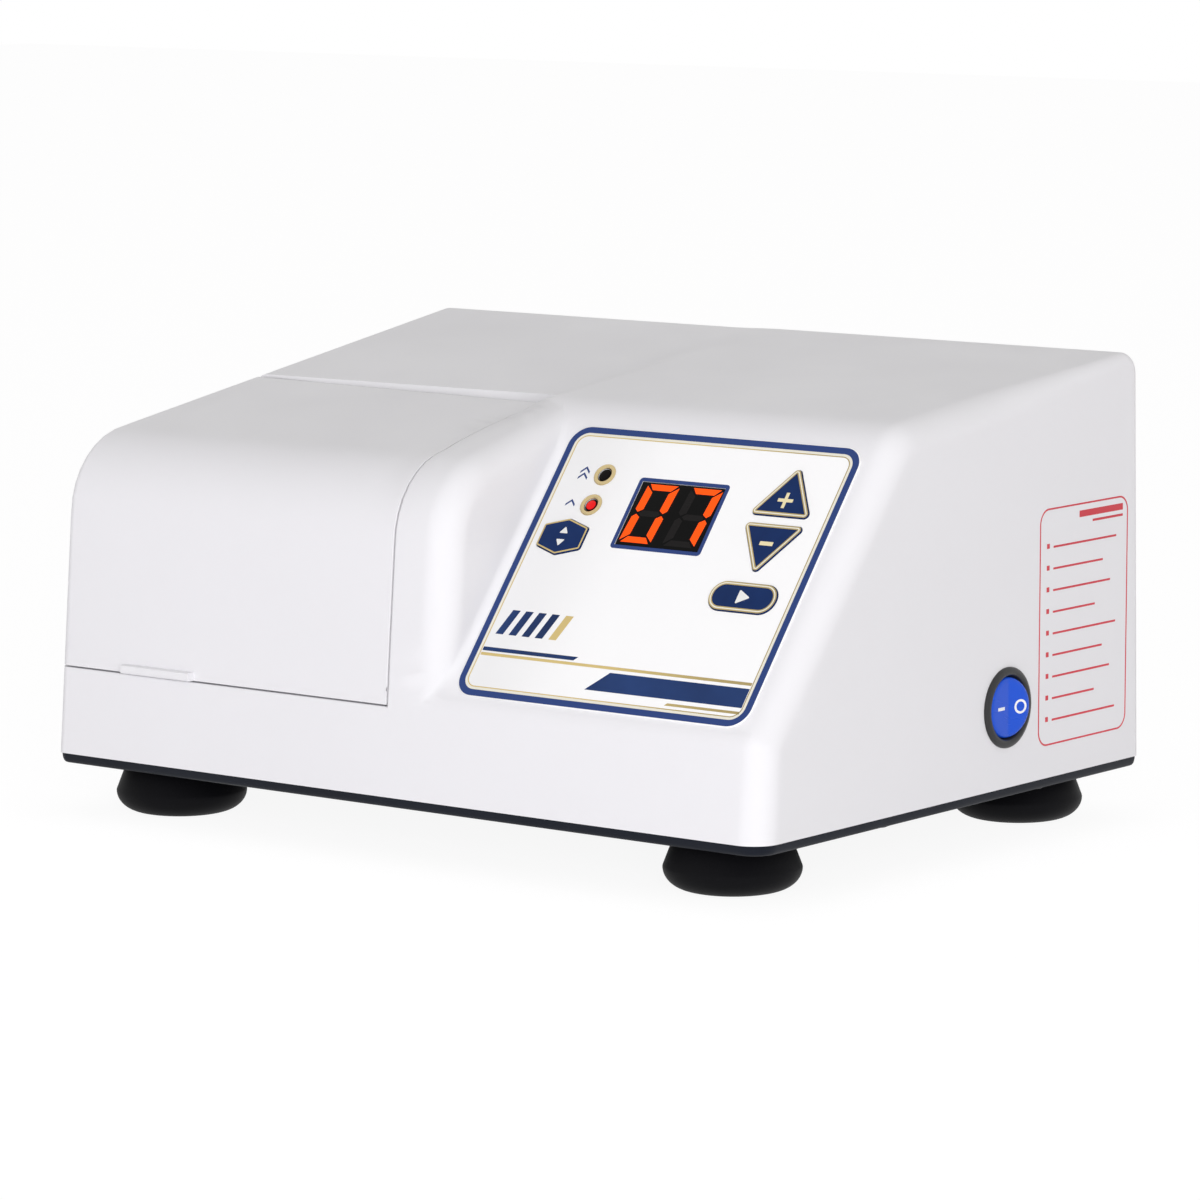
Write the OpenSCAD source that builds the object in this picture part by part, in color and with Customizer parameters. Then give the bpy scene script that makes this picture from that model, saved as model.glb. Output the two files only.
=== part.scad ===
// Bench-top capsule mixer for dental amalgam.
// X to the right, Y to the back, Z up. The origin lies on the table under the middle of the case.

/* [Case] */
// Width of the case
case_w = 254; // [246:1:270]
// Depth of the case at its lower edge
case_d = 189; // [185:1:200]
// Height of the case above the base plate, at the rear
case_h = 119; // [116:1:126]
// Wall of the mouldings
wall = 2.6; // [2:0.1:3]
// Slope of the top over the lid, in degrees
lid_slope = 9.1; // [8.5:0.1:9.5]
// Slope of the top over the panel, in degrees
top_slope = 6; // [5.5:0.1:7]
// Lean of the front wall, in degrees
front_lean = 4.7; // [4:0.1:5.5]
// Lean of the rear wall, in degrees
rear_lean = 1.7; // [1:0.1:2.4]
// Radius of the roll from the lid's top to its front
roll_r = 25; // [22:1:28]
// Rounding of the left edges
side_r = 3; // [2.8:0.1:6]
// Rounding of the right edges
edge_r = 8; // [7:1:10]
// Rounding of the step beside the panel
step_r = 12.5; // [11:0.5:14]
// Place of the step wall, left to right
step_x = 16; // [15:0.5:17]
// Thickness of the base plate
plate_t = 3; // [2:0.5:4]
// Distance that the base plate lies inside the case's edge
plate_inset = 1.2; // [0.8:0.1:2]

/* [Panel] */
// Tilt of the control panel, in degrees
panel_tilt = 51; // [50:0.5:52]
// Height at which the panel's slope starts on the front wall
panel_h = 28; // [27:0.5:30]
// Distance from the overlay to the right wall
overlay_end = 8.5; // [6:0.1:10]
// Length of the printed overlay up the slope
overlay_l = 90; // [88:0.5:91]
// Thickness of the overlay
overlay_t = 0.5; // [0.3:0.1:0.8]
// Corner radius of the overlay
overlay_r = 6.5; // [4:0.5:9]
// Gap from the step wall to the overlay
overlay_side = 2.5; // [2:0.1:3]
// Gap from the lower end of the slope to the overlay
overlay_low = 3.1; // [2.5:0.1:4]
// Height of the keys above the overlay
key_proud = 0.4; // [0.3:0.1:0.6]
// Travel of a key
key_travel = 0.8; // [0.5:0.1:0.9]
// Gap round a key
key_gap = 0.25; // [0.2:0.05:0.4]
// Width of the display window
window_w = 30.6; // [29:0.2:32]
// Length of the display window up the slope
window_l = 23; // [22:0.2:24]
// Radius of an indicator lamp
lamp_r = 1.9; // [1.5:0.1:2.2]
// Depth of the control board below the slope
board_depth = 10; // [9.5:0.1:11]

/* [Lid] */
// Height of the seam above the base plate
seam_h = 25.2; // [24:0.1:27]
// Width of the seam
seam_gap = 0.5; // [0.4:0.05:0.7]
// Place of the seam at the front, left to right
seam_front_x = -2.9; // [-5:0.1:-2]
// Place of the seam at the rear, left to right
seam_rear_x = -13.8; // [-16:0.1:-12]
// Place of the hinge, front to back
hinge_y = -7; // [-8:0.1:-6]
// Depth of the hinge line below the top
hinge_drop = 3.2; // [3.2:0.1:3.8]
// Radius of the hinge knuckles
knuckle_r = 1.9; // [1.8:0.05:2]
// Radius of the hinge pin
pin_r = 1; // [0.8:0.05:1.1]
// Running gap round the hinge pin
pin_gap = 0.05; // [0.04:0.01:0.1]
// Width of the finger tab
tab_w = 26; // [20:1:32]

/* [Feet] */
// Height of a foot
foot_h = 14.5; // [12:0.5:18]
// Largest radius of a foot
foot_r = 20; // [18:0.5:21]
// Distance between the feet, left to right
foot_span_x = 200; // [196:1:202]
// Distance between the feet, front to back
foot_span_y = 140; // [136:1:142]

/* [Drive] */
// Distance from the left wall to the motor's axis
motor_in = 63; // [61:0.5:65]
// Height of the motor's axis above the chamber's floor
motor_rise = 26; // [25:0.5:27]
// Outer radius of the motor
motor_r = 30; // [28:0.5:31]
// Length of the motor's case
motor_l = 42; // [40:1:44]
// Radius of the motor's shaft
shaft_r = 3; // [2.5:0.1:3.5]
// Tilt of the bush on the shaft, in degrees
bush_tilt = 6; // [4:0.5:6.5]
// Radius of the bush
bush_r = 6.5; // [6:0.1:7]
// Half the length of the capsule clip
clip_half = 16; // [14:0.5:16]
// Height of the clip's plate above the shaft
clip_rise = 24; // [22:0.5:25]

/* [Power] */
// Place of the switch, front to back
switch_y = 23.3; // [20:0.1:30]
// Height of the switch above the base plate
switch_h = 23; // [22:0.5:30]
// Radius of the switch's bezel
bezel_r = 11.5; // [11:0.1:13]
// Swing of the rocker, in degrees
rocker_swing = 18; // [14:1:18]
// Distance from the right wall to the mains inlet
inlet_in = 57; // [51:1:67]
// Height of the mains inlet above the base plate
inlet_h = 27.5; // [25:0.5:40]
// Radius of the fuse holder's cap
fuse_cap_r = 7.5; // [7:0.1:9]

/* [Hidden] */
$fn = 48;
white = [0.93, 0.93, 0.95];
navy = [0.16, 0.23, 0.48];
black = [0.08, 0.08, 0.09];
steel = [0.72, 0.73, 0.75];
far = 400;
slip = 0.3;
fit = 0.02;
eps = 0.05;

// The case
base_z = foot_h + plate_t;
drop = 15;
proud = 0.25;
knee_y = hinge_y - 11.8;
groove_y = hinge_y + 3.5;
lid_back_y = hinge_y - 2.8;
back_y = groove_y - 0.5;
seam_turn_y = -66;
seam_z = base_z + seam_h;
panel_fillet = 8;
panel_top_r = 18;
rear_r = 6;
ramp_x = step_x - step_r;

// The hinge and the tab
tab_x = 39 - case_w / 2;
hinge_h = case_h - tan(lid_slope) * (yb(case_h) - hinge_y) - hinge_drop;
hinge_z = base_z + hinge_h;
bar_drop = 8;
bar_t = 2.7;
case_knuckles = [[-116, -108], [-66, -58], [-28, -20]];
lid_knuckles = [[-107.6, -92], [-44, -28.4]];

// The panel
board_t = 1.6;
overlay_x = step_x + overlay_side;
overlay_w = case_w / 2 - overlay_end - overlay_x;
key_x = overlay_x + overlay_w - 18.5;
lamp_x = overlay_x + 17.7;
lamp_v = [overlay_low + 64.3, overlay_low + 74.4];
select_at = [overlay_x + 13.1, overlay_low + 53.2];
plus_at = [key_x, overlay_low + 73.6];
minus_at = [key_x, overlay_low + 56];
start_at = [key_x, overlay_low + 39.8];
window_at = [overlay_x + 0.305 * overlay_w, overlay_low + 51.5];
window_r = 1;
window_t = 1.5;
key_flange = 1.2;
key_flange_t = 1.2;
stem_r = 2.2;
switch_rise = 4;
led_ring_r = 3.5;

// The chamber
tub_inset = wall + seam_gap;
tub_t = 2;
tub_rim_z = base_z + 18.5;
tub_floor_z = seam_z + 1.3;
tub_left = -case_w / 2 + 6.5;
tub_right = seam_front_x - 5;
tub_front = -case_d / 2 + 7;
tub_back = hinge_y - 6.3;
tub_top_z = hinge_z - bar_drop + 0.7;
lip_h = 6;
leg_r = 4;
leg_x = [14 - case_w / 2, seam_rear_x - leg_r];
tub_legs = [[leg_x[0], -42], [leg_x[0], -18], [leg_x[1], 15 - case_d / 2], [leg_x[1], -18]];
tub_screw_r = 1.5;

// The drive
motor_x = motor_in - case_w / 2;
motor_z = tub_floor_z + tub_t + motor_rise;
motor_y0 = 2;
motor_y1 = motor_y0 + motor_l;
bell_t = 4;
boss_r = 12;
boss_l = 6;
bearing_r = 8;
bearing_l = 5;
case_t = 2.5;
stator_r = motor_r - case_t - eps;
stator_bore = 18.5;
air_gap = 0.5;
core_y0 = motor_y0 + 10;
core_y1 = motor_y1 - 10;
ear_at = motor_r + 3;
ear_r = 4;
bolt_r = 1.5;
bracket_z = base_z + 9.5;
bracket_t = 2.5;
isolator_x = 24;
isolator_y = [motor_y0 - 2, motor_y1 + 2];
hub_y = tub_back - 23.5;
race_r = bush_r + 3.5;
ball_r = 1.5;
ring_t = 2.5;
hub_half = 4;
hub_r = race_r + ball_r + ring_t + 3.5;
tail_r = 2;
tail_l = motor_z - tub_floor_z - tub_t - 2.5;
guide_h = motor_z - hub_r - tub_floor_z - tub_t - 1.5;
clip_w = 12;
clip_h = 10;
clip_t = 1.5;

// The lid switch
sense_x = -27;
sense_y = tub_back - tub_t - 4;
sense_travel = 1.2;

// The mains parts
rocker_r = bezel_r - 2.9;
barrel_r = bezel_r - 1.6;
plate_screw_r = 2;
inlet_x = case_w / 2 - inlet_in;
power_x = [2, inlet_x + 20];
power_y = [-18, 50];
power_core = [power_x[0] + 12, power_x[0] + 54];
core_y = [6, 28];
core_h = 35;
core_t = 7;
relay_size = [20, 16, 15.4];
power_z = base_z + 7.5;
screw_boss_r = 5;
housing_bosses = [for (s = [-1, 1]) for (y = [-30, 48]) [s * (case_w / 2 - wall - screw_boss_r + 0.4), y]];
feet = [for (s = [-1, 1]) for (t = [-1, 1]) [s * foot_span_x / 2, t * foot_span_y / 2]];
isolators = [for (s = [-1, 1]) for (y = isolator_y) [motor_x + s * isolator_x, y]];
power_posts = [for (x = [power_x[0] + 5, power_x[1] - 5]) for (y = [power_y[0] + 5, power_y[1] - 5]) [x, y]];
fuse_x = inlet_x - 35;
inlet_w = 27;
inlet_tall = 20;
board_x = [overlay_x + 2, overlay_x + overlay_w - 3];
board_v = [overlay_low + 8.9, overlay_l - 4];
board_posts = [for (x = [board_x[0] + 4, board_x[1] - 5]) for (v = [board_v[0] + 6, board_v[1] - 6]) [x, v]];

function mix(a, b, t) = a + (b - a) * t;

// Outer face of the front and rear walls at a height above the base plate
function yf(h) = -case_d / 2 + h * tan(front_lean);
function yb(h) = case_d / 2 - h * tan(rear_lean);

// Height of a top plane that is level with the other one at the rear
function plane_h(y, slope) = case_h - tan(slope) * (yb(case_h) - y);

// Where the lid's top plane meets the front wall, and where the panel meets a top plane
roll_h = (case_h - tan(lid_slope) * (yb(case_h) + case_d / 2)) / (1 - tan(lid_slope) * tan(front_lean));
function meet_y(slope) = (plane_h(0, slope) - panel_h + tan(panel_tilt) * yf(panel_h))
    / (tan(panel_tilt) - tan(slope));

// The top changes from one slope to the other between the seam and the step
function lift(x) = min(1, max(0, (x - seam_rear_x) / (ramp_x - seam_rear_x)));
function top_h(x, y) = mix(plane_h(y, lid_slope), plane_h(y, top_slope), lift(x));

// Profile corners: [y, height above the base plate, radius, arc segments]
function front_block(x) = [
    [yf(-drop), -drop, 0, 0],
    [yf(roll_h), roll_h, roll_r, 7],
    [knee_y, top_h(x, knee_y) + proud, 0, 0],
    [back_y, top_h(x, back_y) - proud, 0, 0],
    [back_y, -drop, 0, 0]];
function rear_block(x) = let (y = mix(meet_y(lid_slope), meet_y(top_slope), lift(x))) [
    [yf(-drop), -drop, 0, 0],
    [yf(panel_h), panel_h, panel_fillet, 3],
    [y, panel_h + tan(panel_tilt) * (y - yf(panel_h)), panel_top_r, 5],
    [yb(case_h), case_h, rear_r, 5],
    [yb(-drop), -drop, 0, 0]];

// A clockwise outline with each corner [u, v, radius, segments] rounded, drawn in by t
function outward(a, b) = let (d = b - a) [-d[1], d[0]] / norm(d);
function flat(p) = [p[0], p[1]];
function rounded(c, t) = [for (i = [0:len(c) - 1])
    let (m = len(c), q = flat(c[i]),
         n1 = outward(flat(c[(i + m - 1) % m]), q),
         n2 = outward(q, flat(c[(i + 1) % m])),
         mid = (n1 + n2) / norm(n1 + n2),
         r = c[i][3] == 0 ? t : max(c[i][2], t + 0.1),
         centre = q - mid * r / (mid * n1),
         a1 = atan2(n1[1], n1[0]),
         turn = (a1 - atan2(n2[1], n2[0]) + 720) % 360,
         n = c[i][3])
    for (j = [0:n]) n == 0
        ? q - mid * t / (mid * n1)
        : centre + (r - t) * [cos(a1 - turn * j / n), sin(a1 - turn * j / n)]];
function ring(c, x, t) = [for (p = rounded(c, t)) [x, p[0], p[1] + base_z]];

// Stations along X, [x, inset], with rounded ends
function stations(x0, x1, r0, r1, mids, n) = concat(
    [for (i = [n:-1:0]) let (a = 90 * i / n) [x0 + r0 * (1 - sin(a)), r0 * (1 - cos(a))]],
    [for (x = mids) [x, 0]],
    [for (i = [0:n]) let (a = 90 * i / n) [x1 - r1 * (1 - sin(a)), r1 * (1 - cos(a))]]);

module swept(rings) {
    n = len(rings[0]);
    last = (len(rings) - 1) * n;
    polyhedron([for (r = rings) each r], concat(
        [[for (i = [n - 1:-1:0]) i]],
        [for (k = [0:len(rings) - 2]) for (i = [0:n - 1]) let (a = k * n + i, b = k * n + (i + 1) % n)
            each [[a, b, b + n], [a, b + n, a + n]]],
        [[for (i = [0:n - 1]) last + i]]), convexity = 10);
}

// The whole outer form, drawn in by t: the block under the lid and the block under panel and top
module case_blocks(t) {
    left = -case_w / 2 + t;
    round_r = max(side_r - t, 0.1);
    swept([for (s = stations(left, step_x - t, round_r, step_r - t, [seam_rear_x], 4))
        ring(front_block(s[0]), s[0], s[1] + t)]);
    swept([for (s = stations(left, case_w / 2 - t, round_r, edge_r - t, [seam_rear_x, ramp_x], 4))
        ring(rear_block(s[0]), s[0], s[1] + t)]);
}

module box(x, y, z) {
    translate([x[0], y[0], z[0]]) cube([x[1] - x[0], y[1] - y[0], z[1] - z[0]]);
}

// Round bars along each axis
module bar_x(x, r) {
    translate([x[0], 0, 0]) rotate([0, 90, 0]) cylinder(h = x[1] - x[0], r = r);
}
module bar_y(y, r) {
    translate([0, y[0], 0]) rotate([-90, 0, 0]) cylinder(h = y[1] - y[0], r = r);
}
module bar_z(z, r) {
    translate([0, 0, z[0]]) cylinder(h = z[1] - z[0], r = r);
}

// Frames: the panel's slope, the rear wall, the motor's axis, the tilted hub, the switch on the right wall
module on_panel() {
    translate([0, yf(panel_h), base_z + panel_h]) rotate([panel_tilt, 0, 0]) children();
}
module on_rear(x, h) {
    translate([x, yb(h), base_z + h]) rotate([rear_lean, 0, 0]) children();
}
module on_motor() {
    translate([motor_x, 0, motor_z]) children();
}
module at_hub() {
    translate([motor_x, hub_y, motor_z]) rotate([0, 0, -bush_tilt]) children();
}
module at_switch() {
    translate([case_w / 2, switch_y, base_z + switch_h]) children();
}
module each_at(places) {
    for (p = places) translate([p[0], p[1], 0]) children();
}

// Region of the lid seen from above, with its edges drawn in by a gap
module lid_plan(gap, back) {
    polygon([[-far, -far], [seam_front_x - gap, -far], [seam_front_x - gap, seam_turn_y],
        [seam_rear_x - gap, lid_back_y], [seam_rear_x - gap, back], [-far, back]]);
}

module knuckles(spans, web_y, web_low, web_high) {
    for (s = spans) {
        translate([0, hinge_y, hinge_z]) bar_x(s, knuckle_r);
        box(s, web_y, [hinge_z - web_low, hinge_z + web_high]);
    }
}

// Outlines of the keys round their centres, clockwise
function hexagon() = [for (p = [[0, 6], [7.5, 3.2], [7.5, -3.2], [0, -6], [-7.5, -3.2], [-7.5, 3.2]])
    [p[0], p[1], 0.8, 2]];
function triangle(s) = [for (a = [0, 1, 2]) let (p = [[0, 8.6], [10.2, -7.4], [-10.2, -7.4]][s > 0 ? a : 2 - a])
    [p[0], s * p[1], 1.2, 3]];
function stadium() = [for (p = [[-11, 4.6], [11, 4.6], [11, -4.6], [-11, -4.6]]) [p[0], p[1], 4.5, 6]];
function slab(w, l, r) = [[0, 0, r, 4], [0, l, r, 4], [w, l, r, 4], [w, 0, r, 4]];

module outline(c, t, w) {
    translate([0, 0, w[0]]) linear_extrude(w[1] - w[0]) polygon(rounded(c, t));
}
module key_holes(w) {
    translate(select_at) outline(hexagon(), -key_gap, w);
    translate(plus_at) outline(triangle(1), -key_gap, w);
    translate(minus_at) outline(triangle(-1), -key_gap, w);
    translate(start_at) outline(stadium(), -key_gap, w);
}
module lamp_holes(w, gap) {
    for (v = lamp_v) translate([lamp_x, v, 0]) bar_z(w, lamp_r + gap);
}
module window_hole(w, gap) {
    translate(window_at) outline(slab(window_w, window_l, window_r), -gap, w);
}

module upper_housing() {
    color(white) difference() {
        union() {
            difference() {
                case_blocks(0);
                case_blocks(wall);
                translate([0, 0, seam_z]) linear_extrude(far) lid_plan(0, groove_y);
            }
            box([case_knuckles[0][0] - 2, case_knuckles[2][1] + 2], [groove_y, groove_y + bar_t],
                [hinge_z - bar_drop, hinge_z + 2.2]);
            knuckles(case_knuckles, [hinge_y, groove_y + eps], knuckle_r, knuckle_r - 0.3);
            each_at(housing_bosses) bar_z([base_z, base_z + 17], screw_boss_r);
        }
        box([-far, far], [-far, far], [-far, base_z]);
        translate([0, hinge_y, hinge_z]) bar_x([-case_w, 0], pin_r + pin_gap);
        each_at(housing_bosses) bar_z([base_z - 1, base_z + 13], plate_screw_r - 0.2);
        on_panel() key_holes([-2 * wall, 1]);
        on_panel() lamp_holes([-2 * wall, 1], slip);
        on_panel() window_hole([-2 * wall, 1], -1);
        at_switch() bar_x([-2 * wall, 1], barrel_r + 0.2);
        on_rear(inlet_x, inlet_h) box([-inlet_w / 2 - 0.2, inlet_w / 2 + 0.2], [-2 * wall, 1],
            [-inlet_tall / 2 - 0.2, inlet_tall / 2 + 0.2]);
        on_rear(fuse_x, inlet_h) bar_y([-2 * wall, 1], fuse_cap_r - 0.8);
    }
}

module base_plate() {
    x = case_w / 2 - plate_inset;
    y = case_d / 2 - plate_inset;
    cut = 6;
    color(black) difference() {
        translate([0, 0, foot_h]) linear_extrude(plate_t) polygon([[-x, cut - y], [-x, y - cut], [cut - x, y],
            [x - cut, y], [x, y - cut], [x, cut - y], [x - cut, -y], [cut - x, -y]]);
        each_at(concat(feet, isolators)) bar_z([0, base_z + 1], plate_screw_r + fit);
        each_at(housing_bosses) bar_z([0, base_z + 1], plate_screw_r + 0.1);
        each_at(concat(tub_legs, power_posts)) bar_z([0, base_z + 1], tub_screw_r + 0.1);
    }
}

// A foot: flat below, swelling to its largest radius, with a cone up to the plate
module foot(at) {
    bulge = 6;
    rest_r = foot_r - 4.5;
    top_r = foot_r - 2.5;
    recess_r = 5.5;
    recess_h = 6;
    side = concat(
        [for (i = [0:6]) let (a = 90 * i / 6) [rest_r + (foot_r - rest_r) * sin(a), bulge * (1 - cos(a))]],
        [[top_r, foot_h]]);
    color(black) translate([at[0], at[1], 0]) difference() {
        rotate_extrude() polygon(concat([[0, 0]], side, [[0, foot_h]]));
        bar_z([-1, recess_h], recess_r);
        bar_z([0, foot_h + 1], plate_screw_r + 0.2);
    }
}
module foot_screws() {
    color(steel) each_at(feet) {
        bar_z([3.5, 6], 4.5);
        bar_z([5, base_z - 0.2], plate_screw_r);
    }
}

// Screws that come up through the base plate, with heads of their own height below it
module screws_from_below(places, r, top) {
    color(steel) each_at(places) {
        bar_z([foot_h - 1.3 * r, foot_h], 1.9 * r);
        bar_z([foot_h - r, top], r);
    }
}

module lid() {
    skirt_x = -case_w / 2 + 7;
    color(white) difference() {
        union() {
            intersection() {
                difference() {
                    case_blocks(0);
                    case_blocks(wall);
                }
                union() {
                    translate([0, 0, seam_z + seam_gap]) linear_extrude(far) lid_plan(seam_gap, lid_back_y);
                    box([-far, skirt_x], [lid_back_y - 1, back_y], [seam_z + seam_gap, hinge_z - 2.5]);
                }
            }
            box([tab_x - tab_w / 2, tab_x + tab_w / 2], [yf(seam_h) - 2.6, yf(seam_h) + wall - 0.6],
                [seam_z + seam_gap, seam_z + 3]);
            knuckles(lid_knuckles, [lid_back_y - 2, hinge_y], 1.5, 1.3);
        }
        translate([0, hinge_y, hinge_z]) bar_x([-case_w, 0], pin_r + pin_gap);
    }
}
module lid_hinge_pin() {
    color(steel) translate([0, hinge_y, hinge_z]) bar_x([case_knuckles[0][0], case_knuckles[2][1]], pin_r);
}

module chamber_tub() {
    x = [tub_left, tub_right];
    hollow = [tub_left + 3, tub_right - tub_t];
    deep = [tub_front + tub_t, tub_back - tub_t];
    floor_top = tub_floor_z + tub_t;
    color([0.85, 0.86, 0.88]) difference() {
        union() {
            intersection() {
                case_blocks(tub_inset);
                union() {
                    box([-far, tub_right], [-far, tub_back], [tub_rim_z, floor_top]);
                    box([tub_right - tub_t, tub_right], [-far, tub_back], [tub_rim_z, far]);
                }
            }
            intersection() {
                difference() {
                    case_blocks(tub_inset);
                    case_blocks(tub_inset + tub_t);
                }
                box([tub_right - tub_t, 0], [-far, tub_back], [tub_rim_z, far]);
            }
            box([tub_left - 3, tub_right], [tub_back - tub_t, tub_back], [tub_rim_z, tub_top_z]);
            box([tub_left - 3, tub_right], [tub_back - tub_t, groove_y - slip], [tub_top_z - tub_t, tub_top_z]);
            box(x, [tub_front, tub_front + tub_t], [tub_rim_z, floor_top + lip_h]);
            box([tub_left, tub_left + tub_t], [tub_front, tub_back], [tub_rim_z, floor_top + lip_h]);
            each_at(tub_legs) bar_z([base_z, tub_floor_z + 1], leg_r);
        }
        difference() {
            box(hollow, deep, [0, tub_floor_z]);
            each_at(tub_legs) bar_z([0, far], leg_r);
        }
        each_at(tub_legs) bar_z([0, base_z + 14], tub_screw_r);
        on_motor() bar_y([tub_back - 2 * tub_t, tub_back + 1], 4 * shaft_r - 4);
        translate([motor_x, hub_y, 0]) bar_z([tub_floor_z - 1, floor_top + 1], 1.6);
    }
}

module lid_switch_body() {
    top = hinge_z - 9.3;
    color([0.3, 0.3, 0.32]) difference() {
        box([sense_x - 7, sense_x + 7], [sense_y - 4, sense_y + 4 - slip], [top - 16, top]);
        translate([sense_x, sense_y, 0]) bar_z([top - 9, far], 1.6);
    }
}
module lid_switch_plunger() {
    top = base_z + plane_h(sense_y, lid_slope) - wall / cos(lid_slope) - 0.4;
    color("ivory") translate([sense_x, sense_y, 0]) bar_z([hinge_z - 17.3, top], 1.5);
}

module control_overlay() {
    color([0.93, 0.93, 0.95]) on_panel() difference() {
        translate([overlay_x, overlay_low, 0]) outline(slab(overlay_w, overlay_l, overlay_r), 0, [0, overlay_t]);
        key_holes([-1, 1]);
        lamp_holes([-1, 1], slip);
        window_hole([-1, 1], -1);
    }
}
module display_window() {
    color([0.1, 0.02, 0.02]) on_panel() translate(window_at) {
        outline(slab(window_w, window_l, window_r), 1.1, [-0.2, overlay_t]);
        outline(slab(window_w, window_l, window_r), -1, [-wall - window_t, -wall]);
        outline(slab(window_w, window_l, window_r), 1.1, [-wall - window_t / 2, 0]);
    }
}
module display_module() {
    color(black) on_panel() translate(window_at)
        outline(slab(window_w, window_l, window_r), 1.5, [-board_depth, -wall - window_t - slip]);
}
module lamp(v, tint) {
    color(tint) on_panel() translate([lamp_x, v, 0]) {
        bar_z([-board_depth, overlay_t + 0.1], lamp_r);
        bar_z([-board_depth, -board_depth + 1], lamp_r + 0.6);
    }
}
module led_rings() {
    color("gold") on_panel() for (v = lamp_v) translate([lamp_x, v, 0]) difference() {
        bar_z([overlay_t, overlay_t + 0.5], led_ring_r);
        bar_z([0, 2], lamp_r + slip);
    }
}

// A key: its cap in the overlay, a flange below the skin, and a stem down to its switch
module key(at, c) {
    color(navy) on_panel() translate(at) {
        outline(c, 0, [-wall - key_flange_t, overlay_t + key_proud]);
        outline(c, -key_flange, [-wall - slip - key_flange_t, -wall - slip]);
        bar_z([-board_depth + switch_rise + key_travel + 0.2, -wall], stem_r);
    }
}
module control_board() {
    color([0.1, 0.35, 0.2]) on_panel() difference() {
        box(board_x, board_v, [-board_depth - board_t, -board_depth]);
        each_at(board_posts) bar_z([-far, 0], tub_screw_r);
    }
}
module tact_switches() {
    color([0.2, 0.2, 0.2]) on_panel() each_at([select_at, plus_at, minus_at, start_at]) {
        box([-3, 3], [-3, 3], [-board_depth, -board_depth + switch_rise - 0.8]);
        bar_z([-board_depth, -board_depth + switch_rise], 1.6);
    }
}
module board_standoffs() {
    color([0.8, 0.7, 0.4]) {
        on_panel() each_at(board_posts) difference() {
            bar_z([-board_depth, -wall], 3);
            bar_z([-board_depth - 1, -board_depth + 5], tub_screw_r - 0.25);
        }
        each_at(power_posts) difference() {
            bar_z([base_z, power_z], 3);
            bar_z([power_z - 5, power_z + 1], tub_screw_r - 0.25);
        }
    }
}
module board_screws() {
    r = tub_screw_r - 0.3;
    color(steel) {
        on_panel() each_at(board_posts) {
            bar_z([-board_depth - board_t - 1.6, -board_depth - board_t], 2 * r);
            bar_z([-board_depth - board_t - 1, -board_depth + 4], r);
        }
        each_at(power_posts) {
            bar_z([power_z + board_t, power_z + board_t + 1.6], 2 * r);
            bar_z([power_z - 4, power_z + board_t + 1], r);
        }
    }
}

// Flat cable from the control board down to the power board
module ribbon_cable() {
    t = 1;
    path = [[-52, 62], [-46, 50], [-30, 40], [-16, 34], [-14, 28]];
    low = [-14, power_z + board_t];
    start = [yf(panel_h) + 45 * cos(panel_tilt) + (board_depth + board_t) * sin(panel_tilt),
        base_z + panel_h + 45 * sin(panel_tilt) - (board_depth + board_t) * cos(panel_tilt)];
    line = concat([start], path, [low]);
    color([0.6, 0.6, 0.62]) translate([overlay_x + 20, 0, 0]) rotate([90, 0, 90]) linear_extrude(16)
        polygon(concat([for (p = line) p], [for (i = [len(line) - 1:-1:0]) line[i] + [t, i == len(line) - 1 ? 0 : t]]));
}

module motor_case() {
    color([0.55, 0.57, 0.6]) on_motor() difference() {
        bar_y([motor_y0, motor_y1], motor_r);
        bar_y([0, far], motor_r - case_t);
    }
}
module end_bell(front) {
    color([0.62, 0.64, 0.66]) on_motor() translate([0, front ? motor_y0 : motor_y1, 0])
        mirror([0, front ? 1 : 0, 0]) difference() {
        union() {
            bar_y([0, bell_t], motor_r);
            for (a = [45:90:315]) rotate([0, a, 0]) translate([ear_at, 0, 0]) bar_y([0, bell_t], ear_r);
            bar_y([0, bell_t + boss_l], boss_r);
        }
        bar_y([-1, bell_t + boss_l - 1.5], bearing_r + fit);
        bar_y([0, far], shaft_r + 0.6);
        for (a = [45:90:315]) rotate([0, a, 0]) translate([ear_at, 0, 0]) bar_y([-1, far], bolt_r + 0.1);
    }
}
module stator_core() {
    color([0.45, 0.45, 0.48]) on_motor() difference() {
        bar_y([core_y0, core_y1], stator_r);
        bar_y([0, far], stator_bore);
    }
}
module stator_windings() {
    color([0.72, 0.42, 0.2]) on_motor() for (y = [[core_y0 - 7, core_y0 - slip], [core_y1 + slip, core_y1 + 7]])
        difference() {
            bar_y(y, stator_r - 1.5);
            bar_y([0, far], stator_bore + 1);
        }
}
module rotor_core() {
    color([0.5, 0.5, 0.52]) on_motor() difference() {
        bar_y([core_y0, core_y1], stator_bore - air_gap);
        bar_y([0, far], shaft_r + fit);
    }
}
module motor_shaft() {
    color(steel) on_motor() bar_y([hub_y - 8, motor_y1 + bell_t + boss_l + 4], shaft_r);
}
module bearing(y) {
    color(steel) on_motor() difference() {
        bar_y(y, bearing_r);
        bar_y([-far, far], shaft_r + 2 * fit);
    }
}
module motor_bolts() {
    color(steel) on_motor() for (a = [45:90:315]) rotate([0, a, 0]) translate([ear_at, 0, 0]) {
        bar_y([motor_y0 - bell_t - 2, motor_y0 - bell_t], 2 * bolt_r);
        bar_y([motor_y0 - bell_t - 1, motor_y1 + bell_t + 3], bolt_r);
        bar_y([motor_y1 + bell_t, motor_y1 + bell_t + 2.4], 2 * bolt_r);
    }
}
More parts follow.
